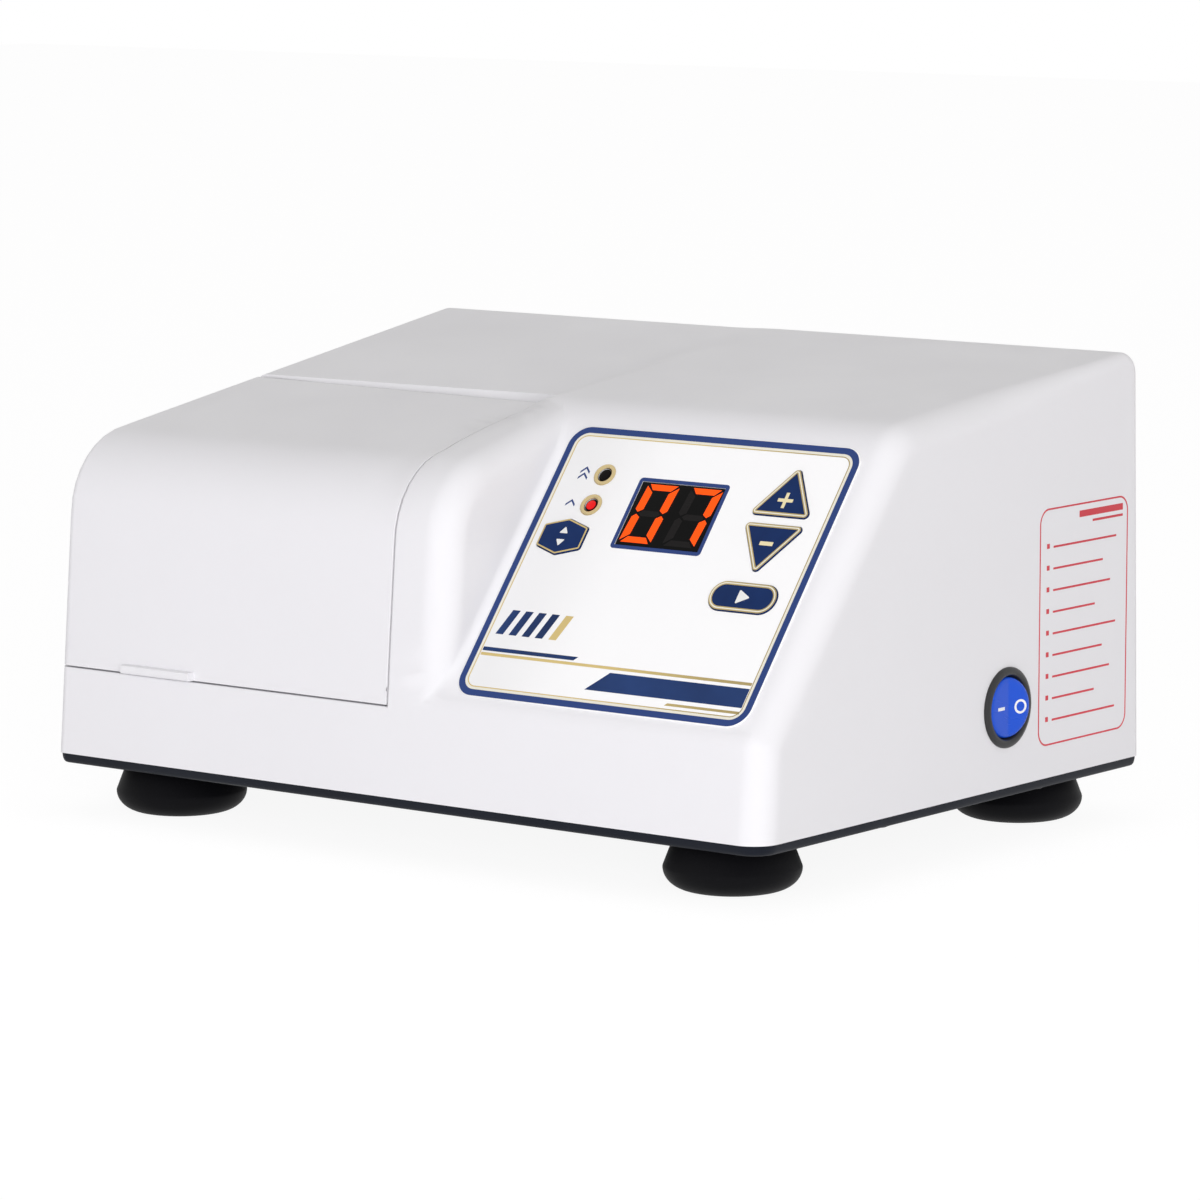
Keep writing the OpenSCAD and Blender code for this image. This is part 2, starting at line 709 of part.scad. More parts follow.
module motor_bracket() {
    front_y = motor_y0 - bell_t - boss_l + 0.5;
    rear_y = motor_y1 + bell_t + boss_l - 3;
    color([0.6, 0.62, 0.64]) difference() {
        union() {
            box([motor_x - 32, motor_x + 32], [front_y - 1, rear_y + 3], [bracket_z, bracket_z + bracket_t]);
            for (y = [front_y, rear_y]) {
                box([motor_x - 16, motor_x + 16], [y, y + 2.5], [bracket_z, motor_z]);
                on_motor() bar_y([y, y + 2.5], 16);
            }
        }
        on_motor() bar_y([-far, far], boss_r + fit);
        each_at(isolators) bar_z([0, bracket_z + bracket_t + 1], plate_screw_r + 0.2);
    }
}
module motor_isolators() {
    color(black) each_at(isolators) difference() {
        bar_z([base_z, bracket_z], 7);
        bar_z([0, far], plate_screw_r + 0.1);
    }
}
module bracket_screws() {
    color(steel) each_at(isolators) {
        bar_z([bracket_z + bracket_t, bracket_z + bracket_t + 2.4], 2 * plate_screw_r);
        bar_z([foot_h + 0.2, bracket_z + bracket_t + 1], plate_screw_r);
    }
}
module shaft_seal() {
    hole = 4 * shaft_r - 4;
    color(black) on_motor() difference() {
        bar_y([tub_back - tub_t - 1.2, tub_back + 1.2], hole + 2);
        bar_y([-far, far], shaft_r + slip);
        difference() {
            bar_y([tub_back - tub_t - fit, tub_back + fit], far);
            bar_y([-far, far], hole - fit);
        }
    }
}

// Ring round the tilted axis with a race for the balls
module race_ring(inner, outer) {
    difference() {
        bar_y([-hub_half, hub_half], outer);
        bar_y([-far, far], inner);
        rotate([-90, 0, 0]) rotate_extrude() translate([race_r, 0]) circle(r = ball_r + 0.1);
    }
}
module wobble_bush() {
    color([0.75, 0.65, 0.35]) at_hub() difference() {
        bar_y([-6, 6], bush_r);
        rotate([0, 0, bush_tilt]) bar_y([-far, far], shaft_r + fit);
    }
}
module wobble_bearing_inner() {
    color(steel) at_hub() race_ring(bush_r + fit, race_r - 1);
}
module wobble_bearing_balls() {
    count = 9;
    color([0.8, 0.8, 0.82]) at_hub() for (i = [0:count - 1]) rotate([0, 360 * i / count, 0])
        translate([race_r, 0, 0]) sphere(r = ball_r);
}
module wobble_bearing_outer() {
    color(steel) at_hub() race_ring(race_r + 1, race_r + ball_r + ring_t - 0.5);
}
module mixing_arm() {
    hole = race_r + ball_r + ring_t - 0.5 + fit;
    color([0.78, 0.79, 0.8]) at_hub() difference() {
        union() {
            bar_y([-hub_half, hub_half], hub_r);
            box([-5, 5], [-3, 3], [hub_r - 4, clip_rise]);
            bar_z([-tail_l, -hub_r + 1], tail_r);
        }
        bar_y([-far, far], hole);
    }
}
module capsule_clip() {
    color(steel) at_hub() difference() {
        union() {
            box([-clip_w / 2, clip_w / 2], [-clip_half, clip_half], [clip_rise, clip_rise + clip_t]);
            for (y = [-clip_half, clip_half - clip_t])
                box([-clip_w / 2, clip_w / 2], [y, y + clip_t], [clip_rise, clip_rise + clip_h]);
        }
        translate([0, 0, clip_rise + clip_h / 2 + 0.8]) bar_y([-far, far], 2.5);
    }
}

// Block on the tub's floor with a slot that keeps the arm's tail from turning
module guide_block() {
    slot_x = tail_r + 0.35;
    slot_y = tail_l * sin(bush_tilt) + tail_r + 0.6;
    z = tub_floor_z + tub_t;
    color(black) translate([motor_x, hub_y, z]) difference() {
        box([-8, 8], [-slot_y - 3, slot_y + 3], [0, guide_h]);
        box([-slot_x, slot_x], [-slot_y, slot_y], [1.5, guide_h + 1]);
    }
}

// Power switch: a ring on the wall and a barrel through it, with a rocker that swings about an upright pin
module switch_bezel() {
    depth = 6.6;
    color(black) at_switch() difference() {
        union() {
            bar_x([0, 2], bezel_r);
            bar_x([-20, 1], barrel_r);
        }
        bar_x([-depth, 3], rocker_r + 0.45);
        translate([-2, 0, 0]) bar_z([-barrel_r + 0.3, barrel_r - 0.3], 1.2 + pin_gap);
    }
}
module switch_rocker() {
    reach = rocker_r - 0.2;
    color([0.1, 0.35, 0.9]) at_switch() union() {
        intersection() {
            linear_extrude(2 * rocker_r, center = true) polygon([[0.6, -reach], [0.6, 0],
                [0.6 + reach * sin(rocker_swing), reach * cos(rocker_swing)],
                [-3 + reach * sin(rocker_swing) / 2, reach], [-3, reach], [-3, -reach]]);
            bar_x([-far, far], rocker_r);
            translate([-2, 0, 0]) sphere(r = rocker_r + 0.3, $fn = 72);
        }
        translate([-2, 0, 0]) bar_z([-barrel_r + 0.4, barrel_r - 0.4], 1.2);
    }
}

module power_board() {
    color([0.1, 0.35, 0.2]) difference() {
        box(power_x, power_y, [power_z, power_z + board_t]);
        each_at(power_posts) bar_z([0, far], tub_screw_r);
    }
}
module transformer_core() {
    z = power_z + board_t;
    color([0.4, 0.4, 0.43]) difference() {
        box(power_core, core_y, [z, z + core_h]);
        for (x = [power_core[0] + core_t, power_core[1] - 2 * core_t])
            box([x, x + core_t], [core_y[0] - 6, core_y[1] + 6], [z + core_t, z + core_h - core_t]);
    }
}
module transformer_coil() {
    z = power_z + board_t;
    color([0.75, 0.6, 0.2]) difference() {
        box(power_core + (core_t + slip) * [1, -1], core_y + [-6, 6], [z + core_t + slip, z + core_h - core_t - slip]);
        box(power_core + (2 * core_t - slip) * [1, -1], core_y + slip * [-1, 1], [z, z + core_h + 5]);
    }
}
module relay() {
    z = power_z + board_t;
    color([0.15, 0.3, 0.6]) box([power_core[1] + 8, power_core[1] + 8 + relay_size[0]], [0, relay_size[1]],
        [z, z + relay_size[2]]);
}

// Three-pin mains inlet, with its socket open to the rear
module power_inlet() {
    color(black) on_rear(inlet_x, inlet_h) difference() {
        union() {
            box([-inlet_w / 2 - 2, inlet_w / 2 + 2], [0, 1.4], [-inlet_tall / 2 - 2, inlet_tall / 2 + 2]);
            box([-inlet_w / 2, inlet_w / 2], [-18, 0.5], [-inlet_tall / 2, inlet_tall / 2]);
        }
        rotate([90, 0, 0]) translate([0, 0, -3]) linear_extrude(18)
            polygon([[-11.5, -7.5], [-11.5, 3], [-7, 7.5], [7, 7.5], [11.5, 3], [11.5, -7.5]]);
        inlet_blades(eps);
    }
}
module inlet_blades(gap) {
    for (p = [[-7, 0, 1, 2], [7, 0, 1, 2], [0, 4, 1, 2]])
        box([p[0] - p[2] - gap, p[0] + p[2] + gap], [-23, -3], [p[1] - p[3] - gap, p[1] + p[3] + gap]);
}
module inlet_pins() {
    color(steel) on_rear(inlet_x, inlet_h) inlet_blades(0);
}
module fuse_holder() {
    color(black) on_rear(fuse_x, inlet_h) {
        bar_y([0, 1.4], fuse_cap_r);
        bar_y([-30, 1], fuse_cap_r - 1);
    }
}

upper_housing();
base_plate();
foot([-foot_span_x / 2, -foot_span_y / 2]);  // foot_front_left
foot([foot_span_x / 2, -foot_span_y / 2]);  // foot_front_right
foot([-foot_span_x / 2, foot_span_y / 2]);  // foot_rear_left
foot([foot_span_x / 2, foot_span_y / 2]);  // foot_rear_right
foot_screws();
screws_from_below(housing_bosses, plate_screw_r - 0.2, base_z + 12);  // housing_screws
lid();
lid_hinge_pin();
chamber_tub();
screws_from_below(tub_legs, tub_screw_r, base_z + 13);  // tub_screws
lid_switch_body();
lid_switch_plunger();
control_overlay();
display_window();
display_module();
lamp(lamp_v[1], [0.1, 0.1, 0.1]);  // led_high
lamp(lamp_v[0], [0.9, 0.1, 0.1]);  // led_low
led_rings();
key(select_at, hexagon());  // select_button
key(plus_at, triangle(1));  // plus_button
key(minus_at, triangle(-1));  // minus_button
key(start_at, stadium());  // start_button
control_board();
tact_switches();
board_standoffs();
board_screws();
ribbon_cable();
motor_case();
end_bell(true);  // front_end_bell
end_bell(false);  // rear_end_bell
stator_core();
stator_windings();
rotor_core();
motor_shaft();
bearing([motor_y0 - bell_t - boss_l + 1.5, motor_y0 - bell_t - boss_l + 1.5 + bearing_l]);  // front_bearing
bearing([motor_y1 + bell_t + boss_l - 1.5 - bearing_l, motor_y1 + bell_t + boss_l - 1.5]);  // rear_bearing
motor_bolts();
motor_bracket();
motor_isolators();
bracket_screws();
shaft_seal();
wobble_bush();
wobble_bearing_inner();
wobble_bearing_balls();
wobble_bearing_outer();
mixing_arm();
capsule_clip();
guide_block();
switch_bezel();
switch_rocker();
power_board();
transformer_core();
transformer_coil();
relay();
power_inlet();
inlet_pins();
fuse_holder();
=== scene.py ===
# %% [markdown]
# # A bench mixer for dental capsules
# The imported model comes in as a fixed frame: every node stands where the maker's drawing puts it. A fixed
# frame could be copied by hand instead, but then each new piece would need fitting. Loading it means that a
# piece made here in the drawing's own millimetres lands in its place.

# %% Load the frame
import math
import bmesh
import bpy
import numpy as np
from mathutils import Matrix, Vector


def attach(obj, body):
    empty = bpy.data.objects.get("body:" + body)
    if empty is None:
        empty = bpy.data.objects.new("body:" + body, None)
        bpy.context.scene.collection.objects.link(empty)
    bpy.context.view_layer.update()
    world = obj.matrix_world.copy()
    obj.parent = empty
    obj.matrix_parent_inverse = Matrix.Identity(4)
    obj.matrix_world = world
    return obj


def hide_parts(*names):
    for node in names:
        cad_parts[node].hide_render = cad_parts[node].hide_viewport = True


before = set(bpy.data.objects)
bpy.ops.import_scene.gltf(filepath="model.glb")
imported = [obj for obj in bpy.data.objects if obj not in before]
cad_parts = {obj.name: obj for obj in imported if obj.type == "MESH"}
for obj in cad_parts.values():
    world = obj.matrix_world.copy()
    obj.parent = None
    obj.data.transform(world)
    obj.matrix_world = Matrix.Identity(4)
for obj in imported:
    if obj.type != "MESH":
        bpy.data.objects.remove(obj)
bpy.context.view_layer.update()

MM = 0.001

# %% [markdown]
# ## Camera
# The photograph was taken from far away with a long lens, a little above the table, from the right front
# corner. A camera could be turned by hand until it looks right. Here it is placed by its azimuth, elevation
# and distance, because these were fitted to the corners of the case.


# %% Place the camera
def aim(obj, target, azimuth, elevation, distance):
    """Links obj at an azimuth from the front, an elevation and a distance, looking at target."""
    a, e = math.radians(azimuth), math.radians(elevation)
    away = Vector((math.sin(a) * math.cos(e), -math.cos(a) * math.cos(e), math.sin(e)))
    obj.location = target + away * distance
    obj.rotation_euler = away.to_track_quat("Z", "Y").to_euler()
    bpy.context.collection.objects.link(obj)
    return obj


TARGET, LENS, DISTANCE = Vector((0.81, 0.01, 62.785)) * MM, 166.914, 1.61807
camera_data = bpy.data.cameras.new("camera")
camera_data.lens, camera_data.sensor_width, camera_data.clip_end = LENS, 36, 20
camera = aim(bpy.data.objects.new("camera", camera_data), TARGET, 37.53, 8.0, DISTANCE)
bpy.context.scene.camera = camera
bpy.context.scene.view_settings.view_transform = "Standard"
print("camera at", [round(c, 4) for c in camera.location])

# %% [markdown]
# ## Numbers of the case
# The case is two blocks grown into one: the block under the lid with a big roll at the front, and the block
# under the panel with its slope. Both share the front wall, the rear wall and the top. These are the
# drawing's values, in millimetres, with heights counted from the base plate.

# %% Values of the case
BASE, PLATE_Z = 17.5, 14.5
HALF_W, HALF_D, HIGH, WALL = 127, 94.5, 119, 2.6
LEAN_F, LEAN_R = math.radians(4.7), math.radians(1.7)
SLOPE_LID, SLOPE_TOP, TILT = math.radians(9.1), math.radians(6), math.radians(51)
SEAM_H, SEAM_GAP = 25.2, 0.5
HINGE_Y, GROOVE_Y, LID_BACK, KNEE_Y = -7.0, -3.5, -9.8, -18.8
SEAM_Y, SEAM_X = (-66, -9.8), (-2.9, -13.8)
BACK_X, BACK_Y = (-400, -127, -14.3), (1.84, -6.4, -9.8)
PANEL_H, STEP_X, BLEND_W = 28, 16, 17.3
STEP_R, REAR_R, SIDE_R, KNEE_R, ROLL_R, SLOPE_LOW_R, SLOPE_HIGH_R = 8.5, 6.4, 3, 40, 25, 8, 18

FEET = [(sx * 100, sy * 70) for sx in (-1, 1) for sy in (-1, 1)]
POSTS = [(sx * 119.8, y) for sx in (-1, 1) for y in (-30, 48)]
TUB_HOLES = [(-113, -42), (-113, -18), (-17.8, -79.5), (-17.8, -18)]
ISOLATORS = [(-64 + s * 24, y) for s in (-1, 1) for y in (0, 46)]
BOARD_HOLES = [(x, y) for x in (7, 85) for y in (-13, 45)]
SWITCH_Y, SWITCH_H, SOCKET_X, FUSE_X, SOCKET_H, PIN_R = 23.3, 23, 70, 35, 27.5, 1.05


def front_y(h):
    return -HALF_D + h * math.tan(LEAN_F)


def rear_y(h):
    return HALF_D - h * math.tan(LEAN_R)


ROLL_H = (HIGH - math.tan(SLOPE_LID) * (rear_y(HIGH) + HALF_D)) / (1 - math.tan(SLOPE_LID) * math.tan(LEAN_F))
HINGE_Z = BASE + HIGH - math.tan(SLOPE_LID) * (rear_y(HIGH) - HINGE_Y) - 3.2
print("hinge height", round(HINGE_Z, 3))

# %% [markdown]
# ## The case as a field
# A moulded shell has one continuous skin whose corners flow into each other. It could be modelled with a
# cage and subdivision, but the corner radii would then drift. Instead a field gives the distance from the
# skin at any point: planes joined by a rounded maximum, and the two blocks joined with a small hollow fillet.


# %% The two blocks
def rounded_max(a, b, r, k=0.0):
    """The larger distance, rounded by r where two planes meet; k is the cosine between them."""
    k = np.minimum(k, 0.9999)
    e, f = a + r, b + r
    arc = (e - k * f > 0) & (f - k * e > 0)
    d = np.sqrt(np.maximum(e * e + f * f - 2 * k * e * f, 1e-12) / (1 - k * k)) - r
    return np.where(arc, d, np.maximum(a, b))


def walls(x, y, h):
    """Distances from the front, the rear and the top, whose slope changes beside the lid."""
    front = -(y + HALF_D) * math.cos(LEAN_F) + h * math.sin(LEAN_F)
    rear = (y - HALF_D) * math.cos(LEAN_R) + h * math.sin(LEAN_R)
    t = np.clip((x - SEAM_X[1]) / BLEND_W, 0, 1)
    w = t * t * (3 - 2 * t)
    slope = np.arctan(math.tan(SLOPE_LID) * (1 - w) + math.tan(SLOPE_TOP) * w)
    high = HIGH - np.tan(slope) * (rear_y(HIGH) - y)
    return front, rear, (h - high) * np.cos(slope), slope


def left_block(x, y, h):
    front, rear, top, slope = walls(x, y, h)
    knee = HIGH - np.tan(slope) * (rear_y(HIGH) - KNEE_Y)
    bend = np.arctan((knee - ROLL_H) / (KNEE_Y - front_y(ROLL_H)))
    fore = (h - ROLL_H - np.tan(bend) * (y - front_y(ROLL_H))) * np.cos(bend)
    over = rounded_max(fore, top, KNEE_R, np.cos(bend - slope))
    d = rounded_max(front, over, ROLL_R, np.sin(LEAN_F + bend))
    d = rounded_max(d, rear, REAR_R, np.sin(LEAN_R - slope))
    return rounded_max(rounded_max(d, -HALF_W - x, SIDE_R), x - STEP_X, STEP_R)


def right_block(x, y, h):
    front, rear, top, slope = walls(x, y, h)
    incline = -(y - front_y(PANEL_H)) * math.sin(TILT) + (h - PANEL_H) * math.cos(TILT)
    d = rounded_max(front, incline, SLOPE_LOW_R, math.sin(TILT + LEAN_F))
    d = rounded_max(d, top, SLOPE_HIGH_R, np.cos(TILT - slope))
    d = rounded_max(d, rear, REAR_R, np.sin(LEAN_R - slope))
    edge = 8 - 4.8 * np.clip((y - 20) / 50, 0, 1)
    return rounded_max(rounded_max(d, -HALF_W - x, SIDE_R), x - HALF_W, edge)


# %% Both blocks with their fillet
FILLET = 2.5


def slope_of(f, x, y, h, e=0.05):
    return np.stack([f(x + e, y, h) - f(x - e, y, h), f(x, y + e, h) - f(x, y - e, h),
                     f(x, y, h + e) - f(x, y, h - e)], -1) / (2 * e)


def field(x, y, h, fillet=FILLET):
    """Below zero inside the case; the fillet fades out where the two blocks run on in one plane."""
    a, b = left_block(x, y, h), right_block(x, y, h)
    if not fillet:
        return np.minimum(a, b)
    ga, gb = slope_of(left_block, x, y, h), slope_of(right_block, x, y, h)
    k = np.clip((ga * gb).sum(-1), -0.5, 1)
    r = fillet * np.clip((0.98 - k) / 0.3, 0, 1)
    return np.minimum(np.minimum(a, b), -rounded_max(-a, -b, np.maximum(r, 1e-6), np.minimum(k, 0.97)))


def normals_at(p):
    g = slope_of(field, p[:, 0], p[:, 1], p[:, 2] - BASE)
    return g / np.maximum(np.linalg.norm(g, axis=1, keepdims=True), 1e-9)


print("depth in the lid block", round(-float(field(-60.0, 0.0, 50.0)), 1), "mm")

# %% [markdown]
# ## From the field to a mesh
# A field can be meshed by voxels, but then a thin radius needs a very fine grid everywhere. Here rays go out
# from a line inside the case. Each half-plane through that line cuts the skin in one curve, and the points on
# it are spread by length and by turning, so the roundings get many and the flat walls few.

# %% Rays from the line
AXIS_H, EYE_X, LOW_H, RIM_H = 40.0, -40.0, -15, 60


def leave_at(outside, like, reach=300.0, steps=34):
    """The length at which each ray leaves the solid, found by halving."""
    near, far = np.zeros_like(like), np.full_like(like, reach)
    for _ in range(steps):
        t = (near + far) / 2
        out = outside(t)
        far, near = np.where(out, t, far), np.where(out, near, t)
    return (near + far) / 2


def shoot(a, th, fillet):
    dx, dy, dh = np.cos(a), np.sin(a) * np.cos(th), np.sin(a) * np.sin(th)

    def outside(t):
        h = AXIS_H + t * dh
        return np.maximum(field(EYE_X + t * dx, t * dy, h, fillet), LOW_H - h) > 0

    t = leave_at(outside, a)
    return np.stack([EYE_X + t * dx, t * dy, AXIS_H + t * dh], -1)


# %% Spread the points
def spread(points, per_degree, blur, per_mm=0.16):
    """A running count along each row that grows with length and with turning."""
    d = np.diff(points, axis=-2)
    length = np.linalg.norm(d, axis=-1)
    u = d / np.maximum(length[..., None], 1e-9)
    turn = np.degrees(np.arccos(np.clip((u[..., 1:, :] * u[..., :-1, :]).sum(-1), -1, 1)))
    turn = np.concatenate([turn[..., :1] * 0, turn], -1)
    kernel = np.ones(blur) / blur
    turn = np.apply_along_axis(lambda v: np.convolve(v, kernel, "same"), -1, turn)
    m = length * per_mm + turn * per_degree
    return np.concatenate([m[..., :1] * 0, np.cumsum(m, -1)], -1)


def section_angles(count=150, floor=-5):
    """Turns of the half-planes, spread by the cross-sections of both blocks."""
    th = np.linspace(-math.pi / 2, 1.5 * math.pi, 1801)
    total = 0
    for x in (-70.0, 70.0):
        t = leave_at(lambda t: field(x + 0 * th, t * np.cos(th), AXIS_H + t * np.sin(th), 0) > 0, th)
        p = np.stack([t * np.cos(th), AXIS_H + t * np.sin(th)], -1)
        m = spread(np.where(p[:, 1:] < floor, p * [1, 0] + [0, floor], p), 0.14, 5)
        total = total + m / m[-1]
    return np.interp(np.arange(count) / count * total[-1], total, th)


def case_grid(count=170):
    th = section_angles()
    side, rise = np.full(100, float(HALF_W)), np.linspace(0.5, RIM_H, 100)
    across = np.linspace(-HALF_W, HALF_W, 500)[1:-1]
    s = np.concatenate([np.stack([-side, rise], -1), np.stack([across, 0 * across + RIM_H], -1),
                        np.stack([side, rise[::-1]], -1)])
    a = np.arctan2(s[:, 1], s[:, 0] - EYE_X)
    A, T = np.meshgrid(a, th)
    m = spread(shoot(A, T, 0), 0.16, 9)
    picks = np.stack([np.interp(np.linspace(0, row[-1], count), row, a) for row in m])
    return shoot(picks, np.repeat(th[:, None], count, 1), FILLET)


GRID = case_grid()
print("case grid", GRID.shape)

# %% [markdown]
# ## Helpers that turn points into pieces
# Most pieces of the machine are stacks of one outline drawn at several heights, or rings between two
# outlines. One helper closes such a stack into a solid. Every mesh is written in metres at its place, with
# its object at the origin.


# %% Mesh helpers
def new_mesh(name, points, faces):
    mesh = bpy.data.meshes.new(name)
    corners = [tuple(p) for p in np.asarray(points, float) * MM]
    mesh.from_pydata(corners, [], [tuple(int(i) for i in f) for f in faces])
    obj = bpy.data.objects.new(name, mesh)
    bpy.context.collection.objects.link(obj)
    return obj


def tidy_normals(obj):
    b = bmesh.new()
    b.from_mesh(obj.data)
    bmesh.ops.remove_doubles(b, verts=b.verts, dist=1e-7)
    bmesh.ops.recalc_face_normals(b, faces=b.faces)
    b.to_mesh(obj.data)
    b.free()
    return obj


def stack(name, rings, hollow=False):
    """Joins rings of equal point count into a closed solid, or into a tube that closes on itself."""
    n, m = len(rings[0]), len(rings)
    faces = []
    for k in range(m if hollow else m - 1):
        for i in range(n):
            a, b = k * n, (k + 1) % m * n
            faces.append((a + i, a + (i + 1) % n, b + (i + 1) % n, b + i))
    if not hollow:
        faces += [tuple(range(n))[::-1], tuple(range((m - 1) * n, m * n))]
    return tidy_normals(new_mesh(name, np.concatenate(rings), faces))


def join(name, objs):
    keep = objs[0]
    b = bmesh.new()
    for o in objs:
        b.from_mesh(o.data)
    b.to_mesh(keep.data)
    b.free()
    for o in objs[1:]:
        bpy.data.objects.remove(o)
    keep.name = keep.data.name = name
    return keep


def carve(obj, tool, how="DIFFERENCE"):
    m = obj.modifiers.new("carve", "BOOLEAN")
    m.operation, m.solver, m.object = how, "EXACT", tool
    mesh = bpy.data.meshes.new_from_object(obj.evaluated_get(bpy.context.evaluated_depsgraph_get()))
    obj.modifiers.clear()
    obj.data = mesh
    bpy.data.objects.remove(tool)
    return obj


def smooth(obj, degrees=32):
    obj.data.shade_smooth()
    obj.data.set_sharp_from_angle(angle=math.radians(degrees))
    return obj


# %% Outlines and plain solids
def circle(r, n=48):
    a = np.arange(n) * 2 * math.pi / n
    return np.stack([r * np.cos(a), r * np.sin(a)], -1)


def slab(w, l, r, x=0.0, y=0.0):
    """Corners (x, y, radius) of a rectangle."""
    return [(x, y, r), (x + w, y, r), (x + w, y + l, r), (x, y + l, r)]


def loop(corners, inset=0.0, n=10):
    """A counter-clockwise outline with each corner (x, y, radius) rounded, drawn in by inset."""
    c = np.array(corners, float)
    out = []
    for i in range(len(c)):
        p, q, s = c[i - 1, :2], c[i, :2], c[(i + 1) % len(c), :2]
        d1, d2 = (q - p) / np.linalg.norm(q - p), (s - q) / np.linalg.norm(s - q)
        n1, n2 = np.array([d1[1], -d1[0]]), np.array([d2[1], -d2[0]])
        mid = n1 + n2
        mid /= np.linalg.norm(mid)
        r = max(c[i, 2], inset + 0.05)
        centre = q - mid * r / (mid @ n1)
        a1 = math.atan2(n1[1], n1[0])
        turn = (math.atan2(n2[1], n2[0]) - a1) % (2 * math.pi)
        a = a1 + turn * np.arange(n + 1) / n
        out.append(centre + (r - inset) * np.stack([np.cos(a), np.sin(a)], -1))
    return np.concatenate(out)


def at_level(flat, z):
    """Points of a flat outline at height z."""
    flat = np.asarray(flat, float)
    return np.column_stack([flat, np.full(len(flat), z)])


def block(x, y, z):
    corners = [(x[i], y[j]) for i, j in ((0, 0), (1, 0), (1, 1), (0, 1))]
    return stack("block", [at_level(corners, level) for level in z])


def along_x(x, r, y, z, n=40):
    c = circle(r, n)
    return stack("bar", [np.column_stack([np.full(n, s), y + c[:, 0], z + c[:, 1]]) for s in x])


def along_z(z, r, x, y, n=40):
    return stack("post", [at_level(circle(r, n) + [x, y], s) for s in z])


# %% [markdown]
# ## Cutting the shell into housing and lid
# On the real machine the lid is moulded apart and fits its opening with a half-millimetre seam. The shell
# could be two models, but they would never match at the seam. So one shell is cut with the same plan for
# both: the housing loses the plan's region, and the lid keeps it, drawn in by the gap.

# %% Shell of the case
FAR, ROW = 400, 0.45


def shell(name):
    """An outer skin from the grid and an inner one, a wall's thickness in, from every second point."""
    def closed(grid):
        grid[:, 0], grid[:, -1] = grid[:, 0].mean(0), grid[:, -1].mean(0)
        return stack(name, list(grid.transpose(1, 0, 2)))

    outer = GRID + [0, 0, BASE]
    skin = closed(outer)
    last = outer.shape[1] - 1
    g = outer[::2, [*range(0, last, 2), last]]
    flat = g.reshape(-1, 3)
    lining = closed((flat - WALL * normals_at(flat)).reshape(g.shape))
    lining.data.flip_normals()
    return join(name, [skin, lining])


def lid_plan(gap, back, z0):
    """The lid's region above z0, drawn in by gap; it runs to y = back, or along the hinge line."""
    a, c = SEAM_X[0] - gap, SEAM_X[1] - gap
    tail = [(c, back), (-FAR, back)] if back is not None else [(BACK_X[0], BACK_Y[0])]
    plan = [(-FAR, -FAR), (a, -FAR), (a, SEAM_Y[0]), (c, LID_BACK)] + tail
    return stack("plan", [at_level(plan, z) for z in (z0, FAR)])


def add_rows(obj):
    """Extra rows of points beside the seams, so that their edges can be shaded round."""
    b = bmesh.new()
    b.from_mesh(obj.data)

    def cut(co, no):
        geom = b.verts[:] + b.edges[:] + b.faces[:]
        bmesh.ops.bisect_plane(b, geom=geom, plane_co=co, plane_no=no, dist=1e-8)

    z = BASE + SEAM_H
    for level in (z - ROW, z + SEAM_GAP + ROW):
        cut((0, 0, level * MM), (0, 0, 1))
    for y in (SEAM_Y[0], GROOVE_Y, GROOVE_Y + 0.5):
        cut((0, y * MM, 0), (0, 1, 0))
    along_back = (-(BACK_Y[2] - BACK_Y[1]), BACK_X[2] - BACK_X[1], 0)
    for y in (-0.5, 0):
        cut((BACK_X[2] * MM, (BACK_Y[2] + y) * MM, 0), along_back)

    def seam_x(y):
        return np.interp(y / MM, SEAM_Y, SEAM_X) * MM

    for v in b.verts:
        v.co.x -= seam_x(v.co.y)
    for x in (-SEAM_GAP - ROW, ROW):
        cut((x * MM, 0, 0), (1, 0, 0))
    for v in b.verts:
        v.co.x += seam_x(v.co.y)
    b.to_mesh(obj.data)
    b.free()
    return obj


base_shell = add_rows(shell("upper_shell"))
carve(base_shell, block((-200, 200), (-200, 200), (-50, BASE)))
lid_shell = base_shell.copy()
lid_shell.data = base_shell.data.copy()
bpy.context.collection.objects.link(lid_shell)
print("shell faces", len(base_shell.data.polygons))

# %% [markdown]
# ## Hinge, tab and openings
# The lid turns on a steel pin that runs through knuckles below the groove. The knuckles could be left out as
# hidden, but they show in the groove and when the lid stands open. The panel's slope gets a hole under every
# key, and the walls get theirs for the switch, the mains socket and the fuse.

# %% Panel frame and outlines
PANEL_O = np.array([0, front_y(PANEL_H), BASE + PANEL_H])
PANEL_V = np.array([0, math.cos(TILT), math.sin(TILT)])
PANEL_W = np.array([0, -math.sin(TILT), math.cos(TILT)])


def on_panel(flat, w, at=(0, 0)):
    """Points of an outline on the panel's slope, w millimetres above it."""
    flat = np.asarray(flat, float)
    return PANEL_O + (flat[:, :1] + at[0]) * [1, 0, 0] + (flat[:, 1:] + at[1]) * PANEL_V + w * PANEL_W


def on_rear(flat, w, x):
    """Points (right, up) of an outline about x on the rear wall, w millimetres outside it."""
    flat = np.asarray(flat, float)
    c, s = math.cos(LEAN_R), math.sin(LEAN_R)
    return np.column_stack([x + flat[:, 0], rear_y(SOCKET_H) + w * c - flat[:, 1] * s,
                            BASE + SOCKET_H + w * s + flat[:, 1] * c])


